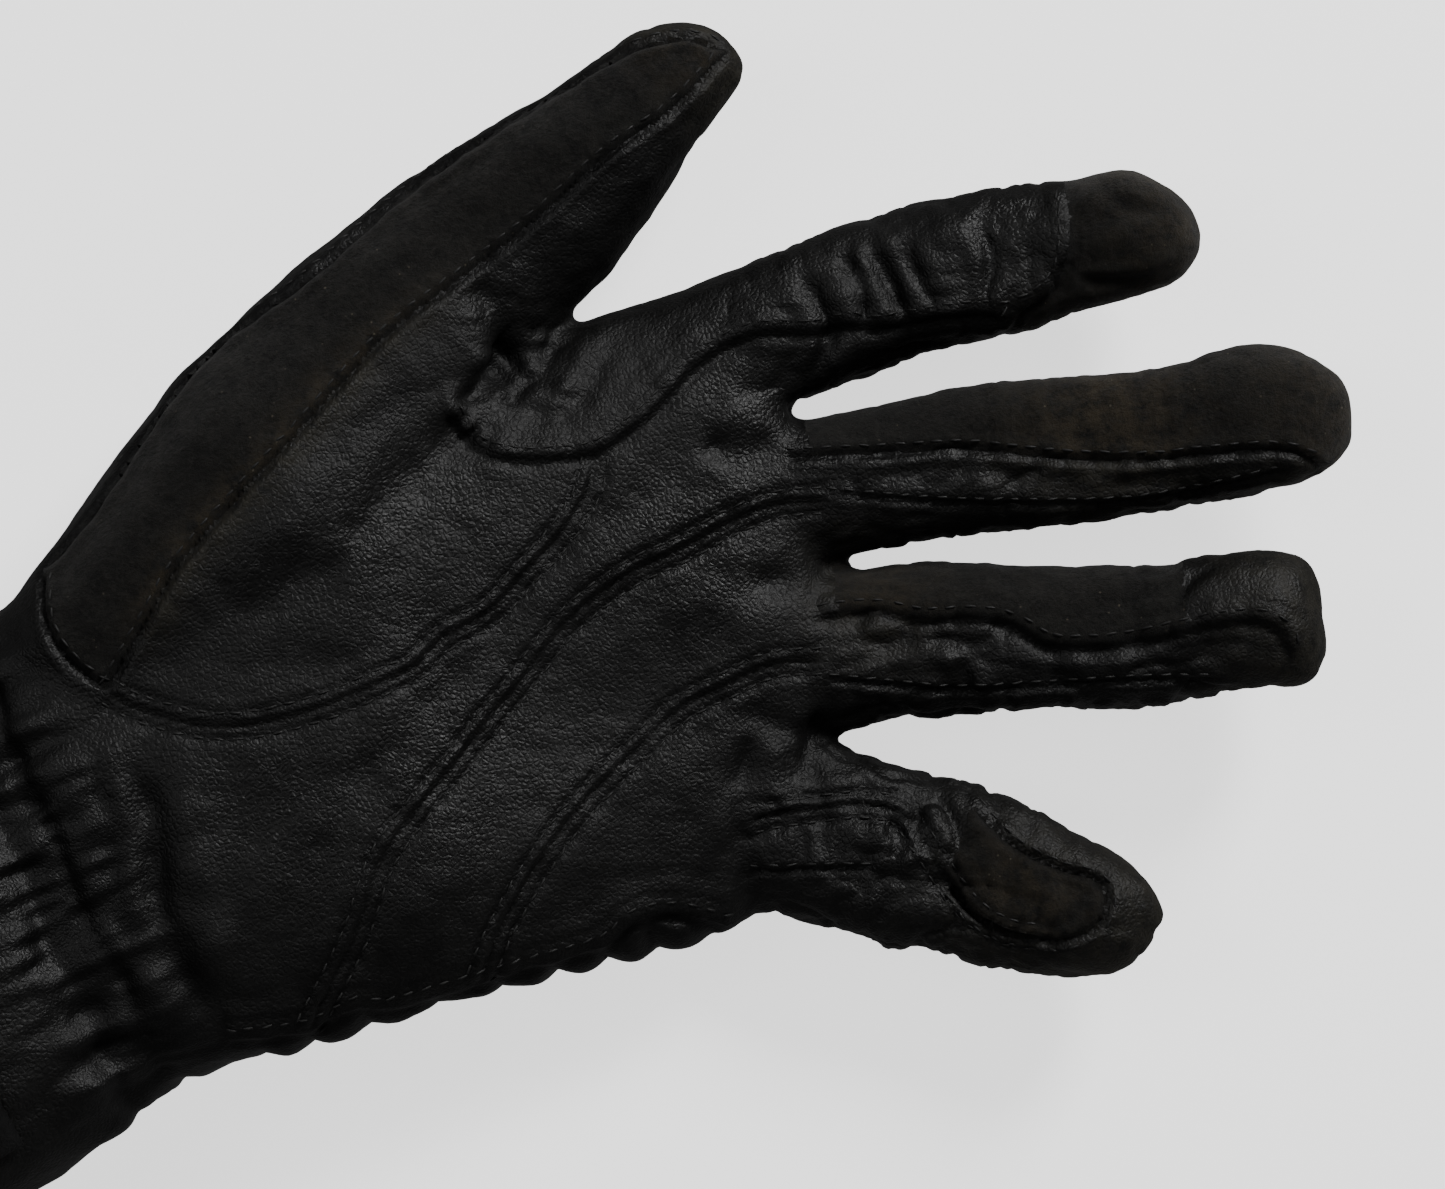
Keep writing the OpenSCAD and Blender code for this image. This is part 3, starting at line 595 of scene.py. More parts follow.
def seam_relief(p, n):
    """Height added by seams and their stitch puckers, and how close each point is to a seam: the mask for the
    painted shade along the seams.
    """
    lift = np.zeros(len(p))
    mark = np.zeros(len(p))
    facing_up = n[:, 2] > -0.1
    flat = smooth(n[:, 2], 0.05, 0.6)
    for number, (line, kind) in enumerate(SEAMS):
        d, place, _ = to_line(p[:, :2], line, 8)
        near = (np.abs(d) < 7) & facing_up
        total = steps_of(line).sum()
        ends = smooth(place, 0.0, 1.5) * smooth(total - place, 0.2, 3.0)
        height = SEAM_SHAPE[kind](d) * ends
        if line is INDEX_SEAM:
            bunched = bump(d - 0.6, 1.3) * (1 - smooth(place, 5, 12))
            height += 0.6 * np.cos(2 * math.pi * place / 3.1) * bunched
        row = np.abs(d) - ROW_GAP if kind == "double" else d - (1.7 if kind == "raised" else 1.2)
        pucker = 0.1 * np.cos(2 * math.pi * place / STITCH_PITCH) * bump(row, 1.0)
        wander = 0.12 * np.cos(2 * math.pi * place / 7.3 + number) * bump(d, 2.6)
        lift += np.where(near, height + pucker + wander, 0) * flat
        edge = bump(np.abs(d) - ROW_GAP, 0.7) if kind == "double" else bump(d, 0.8)
        # the seam mark: where the materials paint shade into the colour along the seam grooves and stitch
        # rows
        mark = np.maximum(mark, np.where(near, edge, 0))
    return lift, mark


def fold_relief(p, facing_up):
    uneven = 0.8 + 0.6 * field(p, 5, 8)
    lift = np.zeros(len(p))
    shade = np.zeros(len(p))
    for points, depth, width in FOLDS:
        line = curve(points)
        d, place, _ = to_line(p[:, :2], line, 4 * width)
        total = steps_of(line).sum()
        fade = smooth(place, 0, total * 0.25) * smooth(total - place, 0, total * 0.25)
        ends = (place > 0.01) & (place < total - 0.01)
        shape = (bump(d, width) - 0.3 * bump(np.abs(d) - width * 2, width * 1.2)) * uneven
        amount = np.where(facing_up & ends, fade * shape, 0)
        lift -= depth * amount
        # creases also give a mask that the materials darken as painted shade
        if depth > 0:
            shade = np.maximum(shade, np.clip(amount, 0, 1) * min(1.0, depth))
    return lift, shade


def gathers(p, facing_up):
    """Elastic gathers at the wrist and along the little finger's edge."""
    along, across = wrist_place(p)
    folds = streaks(across / 3.4, along / 16, p[:, 2] / 9, 11)
    fine = streaks(across / 1.7, along / 7, p[:, 2] / 6, 12)
    wrist = (1.25 * folds + 0.55 * fine) * bump(along + 3, 13)
    sway = along + 1.6 * field(p, 9, 14)
    ruffle = 0.55 * streaks(across / 1.5, along / 4.5, p[:, 2] / 5, 15) * bump(along, 10)
    tight = ruffle - 1.0 * bump(sway - 2, 1.9) - 0.8 * bump(sway + 5, 1.8)
    thumb_side = smooth(across, 26, 36) * 0.65
    wrist = (wrist + tight) * (1 - thumb_side)
    d, place, _ = to_line(p[:, :2], ULNAR_SEAM)
    edge = smooth(-d, 0.3, 2.6) * smooth(place, 2, 8) * (1 - smooth(p[:, 0] - LAYOUT[0], 84, 94))
    edge = edge * smooth(along, 8, 14) * (1 - smooth(-d, 14, 24))
    step = (p[:, :2] - ULNAR_SEAM[0]) @ unit(ULNAR_SEAM[-1] - ULNAR_SEAM[0])
    wave = math.pi * step / 8.4 + 0.55 * np.sin(step / 9) + p[:, 2] / 18
    scallop = 1.5 * np.abs(np.sin(wave)) - 0.7
    pleat = 0.22 * streaks(p[:, 0] / 2.6, p[:, 2] / 10, p[:, 1] / 40, 13)
    return wrist + edge * (scallop + pleat)


def wrinkles(p, n):
    """Creasing of worn leather: long soft waves, then finer lines across the fingers."""
    lift = 0.55 * field(p, 17, 1) + 0.22 * field(p, 6.5, 2) + 0.08 * field(p, 2.6, 3)
    lane = lane_of(p)
    for number, name in enumerate(FINGERS):
        s, _ = finger_place(p, name)
        here = (lane == number) * smooth(s, 0, 6) * ~on_thumb(p)
        _, along, _, places, _ = finger_axis(name)
        lines = field(stretched(p, along, 2.3, 9), 1.0, 20 + number)
        worn = np.clip(np.abs(lines) * 2.2 - 0.15, 0, 1) - 0.6
        knuckle = bump(s - places[1], 7) + 0.8 * bump(s - places[2], 6) + 0.5 * bump(s, 6)
        pulled = 0.25 * field(stretched(p, along, 12, 4), 1.0, 30 + number)
        lift += here * (0.26 * worn * (0.35 + knuckle) + pulled)
    lines = field(stretched(p, THUMB_ALONG, 3.4, 11), 1.0, 41)
    lift += on_thumb(p) * 0.14 * lines * (n[:, 2] < 0.75)
    palm = (1 - smooth(p[:, 0] - LAYOUT[0], 88, 98)) * ~on_thumb(p)
    folds = field(stretched(p, (0.62, 0.78), 16, 4.2), 1.0, 42)
    lift += palm * 0.22 * folds
    return lift


def crumple_strength(p):
    """How strongly the leather is crumpled: most on the fingers and in the crotch, least on thick suede."""
    strength = np.full(len(p), 0.1)
    lane = lane_of(p)
    for number, (name, amount) in enumerate(zip(FINGERS, (0.55, 0.6, 0.95, 1.0))):
        s, _ = finger_place(p, name)
        end = FINGER_FORM[name][-1][0]
        amount = amount * (1 - 0.55 * smooth(s, end - 24, end - 8))
        strength = np.maximum(strength, amount * smooth(s, -7, 5) * (lane == number) * ~on_thumb(p))
    for x, y, amount, radius in ((60, 68, 1.0, 10), (101, 0, 0.8, 13), (98, 72, 0.7, 11)):
        strength = np.maximum(strength, amount * bump(gap_to(p, x, y), radius))
    strength = np.maximum(strength, 0.22 * on_thumb(p))
    for number, line in ((1, MIDDLE_STRIP), (2, RING_STRIP)):
        d, _, _ = to_line(p[:, :2], line)
        thick = (lane == number) & (p[:, 0] > LAYOUT[0] + 98)
        strength *= 1 - 0.7 * smooth(d, 0, 2) * thick
    d, _, _ = to_line(p[:, :2], CAP_SEAM)
    strength *= 1 - 0.7 * smooth(-d, 0, 2) * (lane == 0) * (p[:, 0] - LAYOUT[0] > 128)
    return strength


def crease(p, size, seed, width=0.15):
    """Thin lines where a smooth noise changes sign."""
    return bump(field(p, size, seed), width)


def crumples(p):
    lines = 0.62 * crease(p, 6.5, 61) + 0.4 * crease(p, 3.8, 62, 0.2) + 0.3 * crease(p + 3, 9, 64, 0.09)
    return crumple_strength(p) * (0.5 * field(p, 4.2, 63) + 0.22 - lines)


LOWEST = 0.15


def sculpt(verts, quads):
    """Final skin and what each point carries: the seam and fold masks that the materials darken as painted
    shade.
    """
    n = normals_of(verts, quads)
    up = n[:, 2] > -0.15
    mound = np.zeros(len(verts))
    for (x, y), height, radius in MOUNDS:
        mound += height * bump(gap_to(verts, x, y), radius) * (n[:, 2] > 0.2)
    verts = verts + n * mound[:, None]
    folds, shade = fold_relief(verts, up)
    broad = folds + gathers(verts, up) + wrinkles(verts, n) + crumples(verts)
    verts = verts + n * broad[:, None]
    n = normals_of(verts, quads)
    lift, mark = seam_relief(verts, n)
    verts = verts + n * lift[:, None]
    low = verts[:, 2] < LOWEST
    verts[low, 2] = LOWEST + 0.25 * (verts[low, 2] - LOWEST).clip(-0.6, 0)
    return verts, mark, shade


def snap_to_seams(verts, n):
    """Points close to a seam move onto it, so that panels meet along a clean line."""
    for line, _ in SEAMS:
        d, _, near = to_line(verts[:, :2], line, 2)
        take = (np.abs(d) < 0.3) & (n[:, 2] > 0.15)
        move = near[take] - verts[take, :2]
        verts[take, 2] -= (move * n[take, :2]).sum(1) / n[take, 2]
        verts[take, :2] += move
    return verts


def wear_of(p, n):
    """Khaki wear along the thumb's inner seam, on the fingertips and on raised edges."""
    d, place, _ = to_line(p[:, :2], STRIP_SEAM)
    wear = 0.9 * bump(d, 3.2) * smooth(place, 4, 16) * (1 - smooth(place, 52, 88)) * (n[:, 2] > 0.2)
    lane = lane_of(p)
    for number, name in enumerate(FINGERS):
        s, _ = finger_place(p, name)
        length = FINGER_FORM[name][-1][0]
        tip = (lane == number) * smooth(s, length - 24, length - 2) * (n[:, 2] > -0.2)
        wear = np.maximum(wear, 0.45 * tip)
    s, _ = thumb_place(p)
    wear = np.maximum(wear, 0.6 * smooth(s, 30, 49) * on_thumb(p) * (n[:, 2] > -0.2))
    for x, y, amount, radius in ((146, 60, 0.9, 13), (112, 34, 0.55, 9), (134, -9, 0.6, 10)):
        wear = np.maximum(wear, amount * bump(gap_to(p, x, y), radius))
    return np.clip(wear * (n[:, 2] > -0.3), 0, 1)


# --- materials
def scaled(tone, share):
    return tuple(c * share for c in tone)


class Graph:
    """A material on the rest coordinates, in metres: a scale of 1000 gives features of about 1 mm."""

    def __init__(self, name):
        self.material = bpy.data.materials.new(name)
        self.material.use_nodes = True
        self.tree = self.material.node_tree
        self.tree.nodes.clear()
        out = self.tree.nodes.new("ShaderNodeOutputMaterial")
        self.shader = self.add("ShaderNodeBsdfPrincipled")
        self.tree.links.new(self.shader.outputs[0], out.inputs[0])
        self.place = self.mark("rest", "Vector")

    def put(self, socket, value):
        if isinstance(value, bpy.types.NodeSocket):
            self.tree.links.new(value, socket)
        else:
            is_tone = isinstance(value, tuple) and len(value) == 3
            socket.default_value = (*value, 1) if is_tone else value

    def add(self, kind, *values, **named):
        node = self.tree.nodes.new(kind)
        for key, value in [*enumerate(values), *named.items()]:
            self.put(node.inputs[key], value)
        return node

    def shade(self, **named):
        """Set or link the shader's sockets."""
        for key, value in named.items():
            self.put(self.shader.inputs[key.replace("_", " ")], value)

    def mark(self, name, output="Fac"):
        node = self.add("ShaderNodeAttribute")
        node.attribute_name = name
        return node.outputs[output]

    def noise(self, scale, detail=3.0, rough=0.55):
        node = self.add("ShaderNodeTexNoise", Vector=self.place, Scale=scale, Detail=detail, Roughness=rough)
        return node.outputs["Fac"]

    def cells(self, scale, feature="F1"):
        node = self.add("ShaderNodeTexVoronoi", Vector=self.place, Scale=scale)
        node.feature = feature
        return node.outputs["Distance"]

    def spread(self, value, low, high, to_low=0.0, to_high=1.0):
        return self.add("ShaderNodeMapRange", value, low, high, to_low, to_high).outputs[0]

    def maths(self, kind, a, b):
        node = self.add("ShaderNodeMath", a, b)
        node.operation = kind
        return node.outputs[0]

    def times(self, a, b):
        return self.maths("MULTIPLY", a, b)

    def mix(self, share, a, b):
        node = self.add("ShaderNodeMix")
        node.data_type = "RGBA"
        for key, value in ((0, share), (6, a), (7, b)):
            self.put(node.inputs[key], value)
        return node.outputs[2]

    def with_painted_shade(self, tone, share, dark):
        """Painted shade: darker in the seam grooves and in the fold creases."""
        painted_shade = self.maths("MAXIMUM", self.mark("seam"), self.mark("fold_shade"))
        return self.mix(self.times(painted_shade, share), tone, dark)

    def bumped(self, height, strength, distance, under=None):
        node = self.add("ShaderNodeBump", Height=height, Strength=strength, Distance=distance)
        if under is not None:
            self.put(node.inputs["Normal"], under)
        return node.outputs[0]


LEATHER_WEAR = (0.03, 0.0265, 0.0175)
SUEDE_DUST = (0.05, 0.039, 0.024)
LINT = (0.11, 0.095, 0.07)


def grain_leather(name, dark, light, rough, grain=1.0):
    g = Graph(name)
    tone = g.mix(g.spread(g.noise(45, 4.0, 0.6), 0.3, 0.7), dark, light)
    tone = g.mix(g.spread(g.noise(300, 5.0, 0.7), 0.4, 0.75, 0.0, 0.4), tone, scaled(light, 1.9))
    worn = g.times(g.mark("wear"), g.spread(g.noise(420, 5.0, 0.7), 0.32, 0.6))
    tone = g.mix(g.times(worn, 0.8), tone, LEATHER_WEAR)
    patchy = g.spread(g.noise(38, 4.0, 0.6), 0.32, 0.68, rough - 0.07, rough + 0.14)
    fine = g.spread(g.noise(700, 3.0, 0.6), 0.2, 0.8, -0.06, 0.08)
    ruffled = g.maths("ADD", g.maths("ADD", patchy, fine), g.times(worn, 0.15))
    first = g.bumped(g.noise(120, 5.0, 0.6), 0.4, 0.0014)
    cells = g.spread(g.cells(1250 / grain, "DISTANCE_TO_EDGE"), 0.0, 0.3)
    second = g.bumped(cells, 0.45, 0.00015 * grain, first)
    third = g.bumped(g.noise(1700 / grain, 4.0, 0.7), 0.5, 0.0002 * grain, second)
    # base colour with painted shade in the seams and folds
    g.shade(Base_Color=g.with_painted_shade(tone, 0.7, scaled(dark, 0.3)), Roughness=ruffled, Specular_IOR_Level=0.3,
            Normal=third)
    return g.material


def suede(name, dark, light, dusty=1.0):
    g = Graph(name)
    nap = g.noise(1300, 5.0, 0.8)
    brushed = g.noise(330, 7.0, 0.75)
    tone = g.mix(g.spread(g.noise(60, 5.0, 0.65), 0.32, 0.68), dark, light)
    tone = g.mix(g.spread(brushed, 0.44, 0.66, 0.0, 0.75), tone, scaled(light, 1.9))
    tone = g.mix(g.spread(brushed, 0.34, 0.46, 0.75, 0.0), tone, scaled(dark, 0.25))
    tone = g.mix(g.spread(nap, 0.5, 0.72, 0.0, 0.8), tone, scaled(light, 3.0))
    tone = g.mix(g.spread(nap, 0.3, 0.46, 0.8, 0.0), tone, scaled(dark, 0.2))
    dust = g.times(g.mark("wear"), g.spread(g.noise(300, 7.0, 0.8), 0.4, 0.6))
    tone = g.mix(g.times(dust, 0.85 * dusty), tone, SUEDE_DUST)
    lint = g.times(g.spread(g.cells(560), 0.07, 0.11, 1.0, 0.0), g.spread(g.noise(150, 2.0), 0.52, 0.6))
    tone = g.mix(g.times(lint, 0.7), tone, LINT)
    # base colour with painted shade in the seams and folds
    g.shade(Base_Color=g.with_painted_shade(tone, 0.75, scaled(dark, 0.25)), Specular_IOR_Level=0.14,
            Roughness=g.spread(nap, 0.2, 0.8, 0.8, 0.95), Sheen_Weight=0.04, Sheen_Roughness=0.6,
            Normal=g.bumped(nap, 0.9, 0.0005, g.bumped(brushed, 0.7, 0.0011)))
    return g.material


def thread(name, tone):
    g = Graph(name)
    twist = g.noise(2600, 2.0)
    g.shade(Base_Color=g.mix(g.spread(twist, 0.3, 0.7), tone, scaled(tone, 2.2)),
            Roughness=g.spread(twist, 0.2, 0.8, 0.5, 0.75), Normal=g.bumped(twist, 0.6, 0.0002))
    return g.material


def knit(name, tone):
    g = Graph(name)
    wales = g.add("ShaderNodeTexWave", Vector=g.place, Scale=220.0, Distortion=1.2)
    g.put(wales.inputs["Detail Scale"], 4.0)
    loops = g.times(wales.outputs["Fac"], g.noise(1500, 2.0))
    g.shade(Base_Color=g.mix(g.spread(loops, 0.1, 0.6), tone, scaled(tone, 2.4)),
            Roughness=g.spread(loops, 0.0, 0.7, 0.95, 0.8), Sheen_Weight=0.15,
            Normal=g.bumped(loops, 0.8, 0.0005))
    return g.material


BLACK = (0.0022, 0.0021, 0.0021)
SOFT_BLACK = (0.0052, 0.0051, 0.0049)
COOL_BLACK = (0.0048, 0.0048, 0.0049)
MATERIALS = {
    "palm_leather": grain_leather("palm_goat_leather", BLACK, SOFT_BLACK, 0.44),
    "back_leather": grain_leather("back_goat_leather", BLACK, COOL_BLACK, 0.42),
    "gathered_leather": grain_leather("gathered_thin_leather", (0.002, 0.002, 0.002),
                                      (0.0042, 0.0041, 0.004), 0.4, 0.8),
    "suede": suede("napped_suede", (0.0044, 0.0042, 0.0039), (0.0088, 0.0083, 0.0073)),
    "binding": grain_leather("hem_leather", BLACK, (0.0045, 0.0045, 0.0045), 0.42, 0.7),
    "lining": knit("brushed_lining", (0.012, 0.012, 0.013)),
    "hook_and_loop": suede("hook_and_loop_tape", (0.003, 0.003, 0.003), (0.006, 0.006, 0.006), 0.0),
    "thread": thread("sewing_thread", (0.0032, 0.0031, 0.0029)),
}


# --- pieces
def finish_piece(name, verts, faces, slot, normals=None, marks=None):
    """A mesh object in metres, with its material, its rest coordinates and its marks."""
    mesh = bpy.data.meshes.new(name)
    mesh.from_pydata((np.asarray(verts) * MM).tolist(), [], [tuple(f) for f in faces])
    mesh.update()
    mesh.polygons.foreach_set("use_smooth", [True] * len(mesh.polygons))
    rest = mesh.attributes.new("rest", "FLOAT_VECTOR", "POINT")
    rest.data.foreach_set("vector", (np.asarray(verts) * MM).ravel())
    # the seam and fold masks are painted shade; the wear mask is real wear
    for key in ("seam", "fold_shade", "wear"):
        values = np.zeros(len(verts)) if marks is None else marks[key]
        mesh.attributes.new(key, "FLOAT", "POINT").data.foreach_set("value", values.astype(np.float32))
    mesh.materials.append(MATERIALS[slot])
    if normals is not None:
        mesh.normals_split_custom_set_from_vertices(normals.tolist())
    obj = placed(name, mesh)
    return obj


class Skin:
    """The finished outer surface with everything that a panel cut from it needs."""

    def __init__(self):
        verts, faces = join_forms()
        verts = relax(verts, Net(len(verts), faces), 7)
        verts, faces = subdivided(verts, faces)
        quads = np.array(faces)
        self.net = Net(len(verts), faces)
        verts = snap_to_seams(verts, normals_of(verts, quads))
        # the seam and fold masks are painted shade for the seam grooves and fold creases
        verts, seam, fold_shade = sculpt(verts, quads)
        self.verts, self.quads = verts, quads
        self.normals = normals_of(verts, quads)
        self.marks = {"seam": seam, "fold_shade": fold_shade, "wear": wear_of(verts, self.normals)}
        self.middles = verts[quads].mean(1)
        self.facing = unit_rows(self.normals[quads].sum(1))
        self.inner = relax(verts - self.normals * LEATHER, self.net, 1, 0.6)

    def panel(self, name, chosen, slot):
        """Closed piece of leather: outer faces, inner faces and the cut edge between them."""
        quads = self.quads[chosen]
        used, local = np.unique(quads, return_inverse=True)
        local = local.reshape(quads.shape)
        n = len(used)
        verts = np.vstack([self.verts[used], self.inner[used]])
        edges = np.concatenate([np.stack([local[:, k], local[:, (k + 1) % 4]], 1) for k in range(4)])
        code = edges[:, 0] * n + edges[:, 1]
        back = edges[:, 1] * n + edges[:, 0]
        rim = edges[~np.isin(code, back)]
        rims = np.stack([rim[:, 1], rim[:, 0], rim[:, 0] + n, rim[:, 1] + n], 1)
        faces = np.vstack([local, local[:, ::-1] + n, rims])
        normals = np.vstack([self.normals[used], -self.normals[used]])
        marks = {k: np.concatenate([v[used], v[used]]) for k, v in self.marks.items()}
        return finish_piece(name, verts, faces.tolist(), slot, normals, marks)


def unit_rows(v):
    return v / np.maximum(np.linalg.norm(v, axis=1), 1e-12)[:, None]


skin = Skin()

# --- zones: which stretch between joints each part of the skin lies on
PARTS = {"root": "base", "knuckle": "mid", "end": "tip"}


def finger_limits(name):
    """Places along a finger where its root and knuckle pieces stop."""
    places = finger_axis(name)[3]
    return places[1] - 8.0, (places[1] + places[2]) / 2 + 0.5


ZONES = ["hand"] + [f"{finger}_{stretch}" for finger in FINGERS for stretch in PARTS]
ZONES += ["thumb_root", "thumb_end", "wrist", "cuff"]
ZONE = {name: number for number, name in enumerate(ZONES)}
THUMB_SPLIT = 14.5
BAND = 10.0


def zone_numbers(p):
    zone = np.zeros(len(p), int)
    lane = lane_of(p)
    thumb = on_thumb(p)
    for number, name in enumerate(FINGERS):
        s, _ = finger_place(p, name)
        first, second = finger_limits(name)
        step = ZONE[f"{name}_root"] + (s > first) + (s > second)
        zone = np.where((lane == number) & (s > 0.5) & ~thumb, step, zone)
    s, _ = thumb_place(p)
    zone = np.where(thumb, np.where(s > THUMB_SPLIT, ZONE["thumb_end"], ZONE["thumb_root"]), zone)
    along, _ = wrist_place(p)
    zone = np.where(along < BAND, ZONE["wrist"], zone)
    return np.where(along < -BAND, ZONE["cuff"], zone)


def attach(obj, zone):
    """Ride a hand or cuff piece on its body, and bake the transform of any other piece."""
    if zone in ("hand", "cuff"):
        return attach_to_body(obj, zone)
    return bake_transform(obj)


# --- panels of the skin
def above(xy, line):
    return to_line(xy, line)[0] > 0


def below(xy, line):
    return to_line(xy, line)[0] < 0


def part_of(line, first, last):
    """Part of a curve between two distances along it."""
    walked = walked_along(line)
    return line[(walked >= first) & (walked <= last)]


STRIP_AREA = np.vstack([STRIP_EDGE, STRIP_SEAM[::-1], STRIP_ROOT[::-1]])
THENAR_AREA = np.vstack([part_of(STRIP_SEAM, 0, 80), np.array([(60, 80), (62, 74), (55, 67)], float) + LAYOUT,
                         part_of(INDEX_SEAM, 0, 24), THENAR[::-1]])


def panel_names(p, facing, zone):
    """Name of the panel that each face belongs to."""
    def zones(*starts):
        return np.isin(zone, [number for name, number in ZONE.items() if name.startswith(starts)])

    def past(x):
        return xy[:, 0] > LAYOUT[0] + x

    xy, up = p[:, :2], facing[:, 2]
    top = up > -0.12
    names = np.where(top, "palm", "back").astype("<U24")
    hand = zones("hand")
    palm = hand & top
    thenar = within(xy, THENAR_AREA)
    names[palm] = "palm_centre"
    names[palm & below(xy, MIDDLE_SEAM) & past(29)] = "palm_middle"
    names[palm & below(xy, RING_SEAM) & past(54)] = "palm_outer"
    names[palm & thenar] = "thenar"
    names[palm & ~thenar & above(xy, INDEX_SEAM) & past(51) & (xy[:, 1] > LAYOUT[1] + 54)] = "index_edge"
    names[hand & below(xy, ULNAR_SEAM) & (xy[:, 1] < LAYOUT[1] - 11) & (up > -0.75)] = "ulnar_gusset"
    names[zones("hand", "thumb") & within(xy, STRIP_AREA) & (up > -0.02)] = "suede_strip"
    radial = (xy - THENAR_FROM) @ unit([-THENAR_AXIS[1], THENAR_AXIS[0]]) > -8
    names[hand & ~top & radial & (xy[:, 1] > LAYOUT[1] + 20)] = "thumb_back"
    names[zones("middle") & top & above(xy, MIDDLE_STRIP)] = "suede_strip"
    names[zones("ring") & top & above(xy, RING_STRIP) & ~past(157)] = "suede_strip"
    names[zones("index_knuckle", "index_end") & (up > -0.35) & below(xy, CAP_SEAM) & past(134)] = "suede_cap"
    names[zones("little") & top & within(xy, LITTLE_PATCH)] = "suede_patch"
    return names


# CAD nodes that a piece stands for, by the piece's name
REPLACES = {
    "hand_palm_centre": ["palm_centre", "finger_webs"],
    "hand_palm_middle": ["palm_middle"],
    "hand_palm_outer": ["palm_outer"],
    "hand_thenar": ["thenar_panel", "crotch_gusset"],
    "hand_index_edge": ["index_edge_panel", "index_side_panel"],
    "hand_ulnar_gusset": ["ulnar_gusset"],
    "hand_suede_strip": ["thumb_strip_root"],
    "hand_thumb_back": ["thumb_back_root", "thumb_outer_side"],
    "hand_back": ["back_panel"],
    "wrist_palm": ["wrist_elastic"],
    "cuff_palm": ["cuff_palm"],
    "cuff_back": ["cuff_back"],
}
for stretch in ("root", "end"):
    for panel, node in (("suede_strip", "strip"), ("palm", "inner"), ("back", "back")):
        REPLACES[f"thumb_{stretch}_{panel}"] = [f"thumb_{PARTS[stretch]}_{node}"]
for finger in FINGERS:
    for stretch, part in PARTS.items():
        sides = [] if part == "tip" else [f"{finger}_{part}_sides"]
        REPLACES[f"{finger}_{stretch}_palm"] = [f"{finger}_{part}_palm"]
        REPLACES[f"{finger}_{stretch}_back"] = [f"{finger}_{part}_back"] + sides

zone_of_face = zone_numbers(skin.middles)
name_of_face = panel_names(skin.middles, skin.facing, zone_of_face)
HEM_END = 49.4
kept = wrist_place(skin.middles)[0] > -HEM_END


def slot_for(zone, panel):
    if panel.startswith("suede"):
        return "suede"
    if zone == "wrist" or panel == "ulnar_gusset":
        return "gathered_leather"
    return "back_leather" if "back" in panel else "palm_leather"


LEAST_FACES = 60
for number in range(len(ZONES)):
    here = zone_of_face == number
    main = "palm_centre" if number == 0 else "palm"
    for panel in sorted(set(name_of_face[here])):
        few = here & (name_of_face == panel)
        if few.sum() < LEAST_FACES:
            name_of_face[few] = np.where(skin.facing[few, 2] > 0, main, "back")

for number, zone in enumerate(ZONES):
    for panel in sorted(set(name_of_face[(zone_of_face == number) & kept])):
        chosen = (zone_of_face == number) & (name_of_face == panel) & kept
        name = f"{zone}_{panel}"
        piece = skin.panel(name, chosen, slot_for(zone, panel))
        attach(piece, zone)
        if name in REPLACES:
            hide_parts(*REPLACES[name])

# --- stitches
tree = BVHTree.FromPolygons([tuple(v) for v in skin.verts], [tuple(q) for q in skin.quads.tolist()])
STITCH_L = 1.9
STITCH_R = 0.2


# Rows of points of one stitch: share of its length, share of its radius, height
STITCH_ROWS = [(-0.5, 0.25, -0.35), (-0.3, 0.85, 0.05), (0, 1.0, 0.2), (0.3, 0.85, 0.05), (0.5, 0.25, -0.35)]
STITCH_SIDES = 6


def stitch_mesh(middle, along, up):
    """One stitch: a short rounded bar that dips into the leather at both ends."""
    side = np.cross(up, along)
    n, last = STITCH_SIDES, (len(STITCH_ROWS) - 1) * STITCH_SIDES
    verts = []
    for share, size, rise in STITCH_ROWS:
        for k in range(n):
            a = 2 * math.pi * k / n
            height = rise * STITCH_R * 1.6 + math.sin(a) * STITCH_R * size
            width = math.cos(a) * STITCH_R * size
            verts.append(middle + along * share * STITCH_L + up * height + side * width)
    faces = band_faces(len(STITCH_ROWS) - 1, n)
    return verts, faces + [tuple(reversed(range(n))), tuple(range(last, last + n))]


def stitches_along(line, offset):
    """Stitches on the palm side, a set distance to the left of a plan curve."""
    walked = walked_along(line)

    def spot(s):
        return np.array([np.interp(s, walked, line[:, k]) for k in (0, 1)])

    out = []
    for s in np.arange(1.0, walked[-1] - 0.8, STITCH_PITCH):
        d = unit(spot(s + 0.6) - spot(s - 0.6))
        x, y = spot(s) + offset * np.array([-d[1], d[0]])
        hit, normal, _, _ = tree.ray_cast(Vector((x, y, 80)), Vector((0, 0, -1)))
        if hit is None or normal.z < 0.35:
            continue
        up = unit(normal)
        along = unit(np.append(d, 0) - up * (up @ np.append(d, 0)))
        along = unit(along + np.cross(up, along) * rng.uniform(-0.12, 0.12))
        out.append((np.array(hit), along, up))
    return out


ROWS = {"double": (-ROW_GAP, ROW_GAP), "closed": (1.25,), "raised": (1.5,), "fine": (0.9,)}
by_zone = {}
for line, kind in SEAMS:
    for offset in ROWS[kind]:
        for middle, along, up in stitches_along(line, offset):
            zone = int(zone_numbers(middle[None])[0])
            by_zone.setdefault(zone, []).append(stitch_mesh(middle, along, up))
for zone, made in sorted(by_zone.items()):
    verts, faces = [], []
    for v, f in made:
        faces += [tuple(i + len(verts) for i in face) for face in f]
        verts += v
    attach(finish_piece(f"{ZONES[zone]}_stitching", verts, faces, "thread"), ZONES[zone])


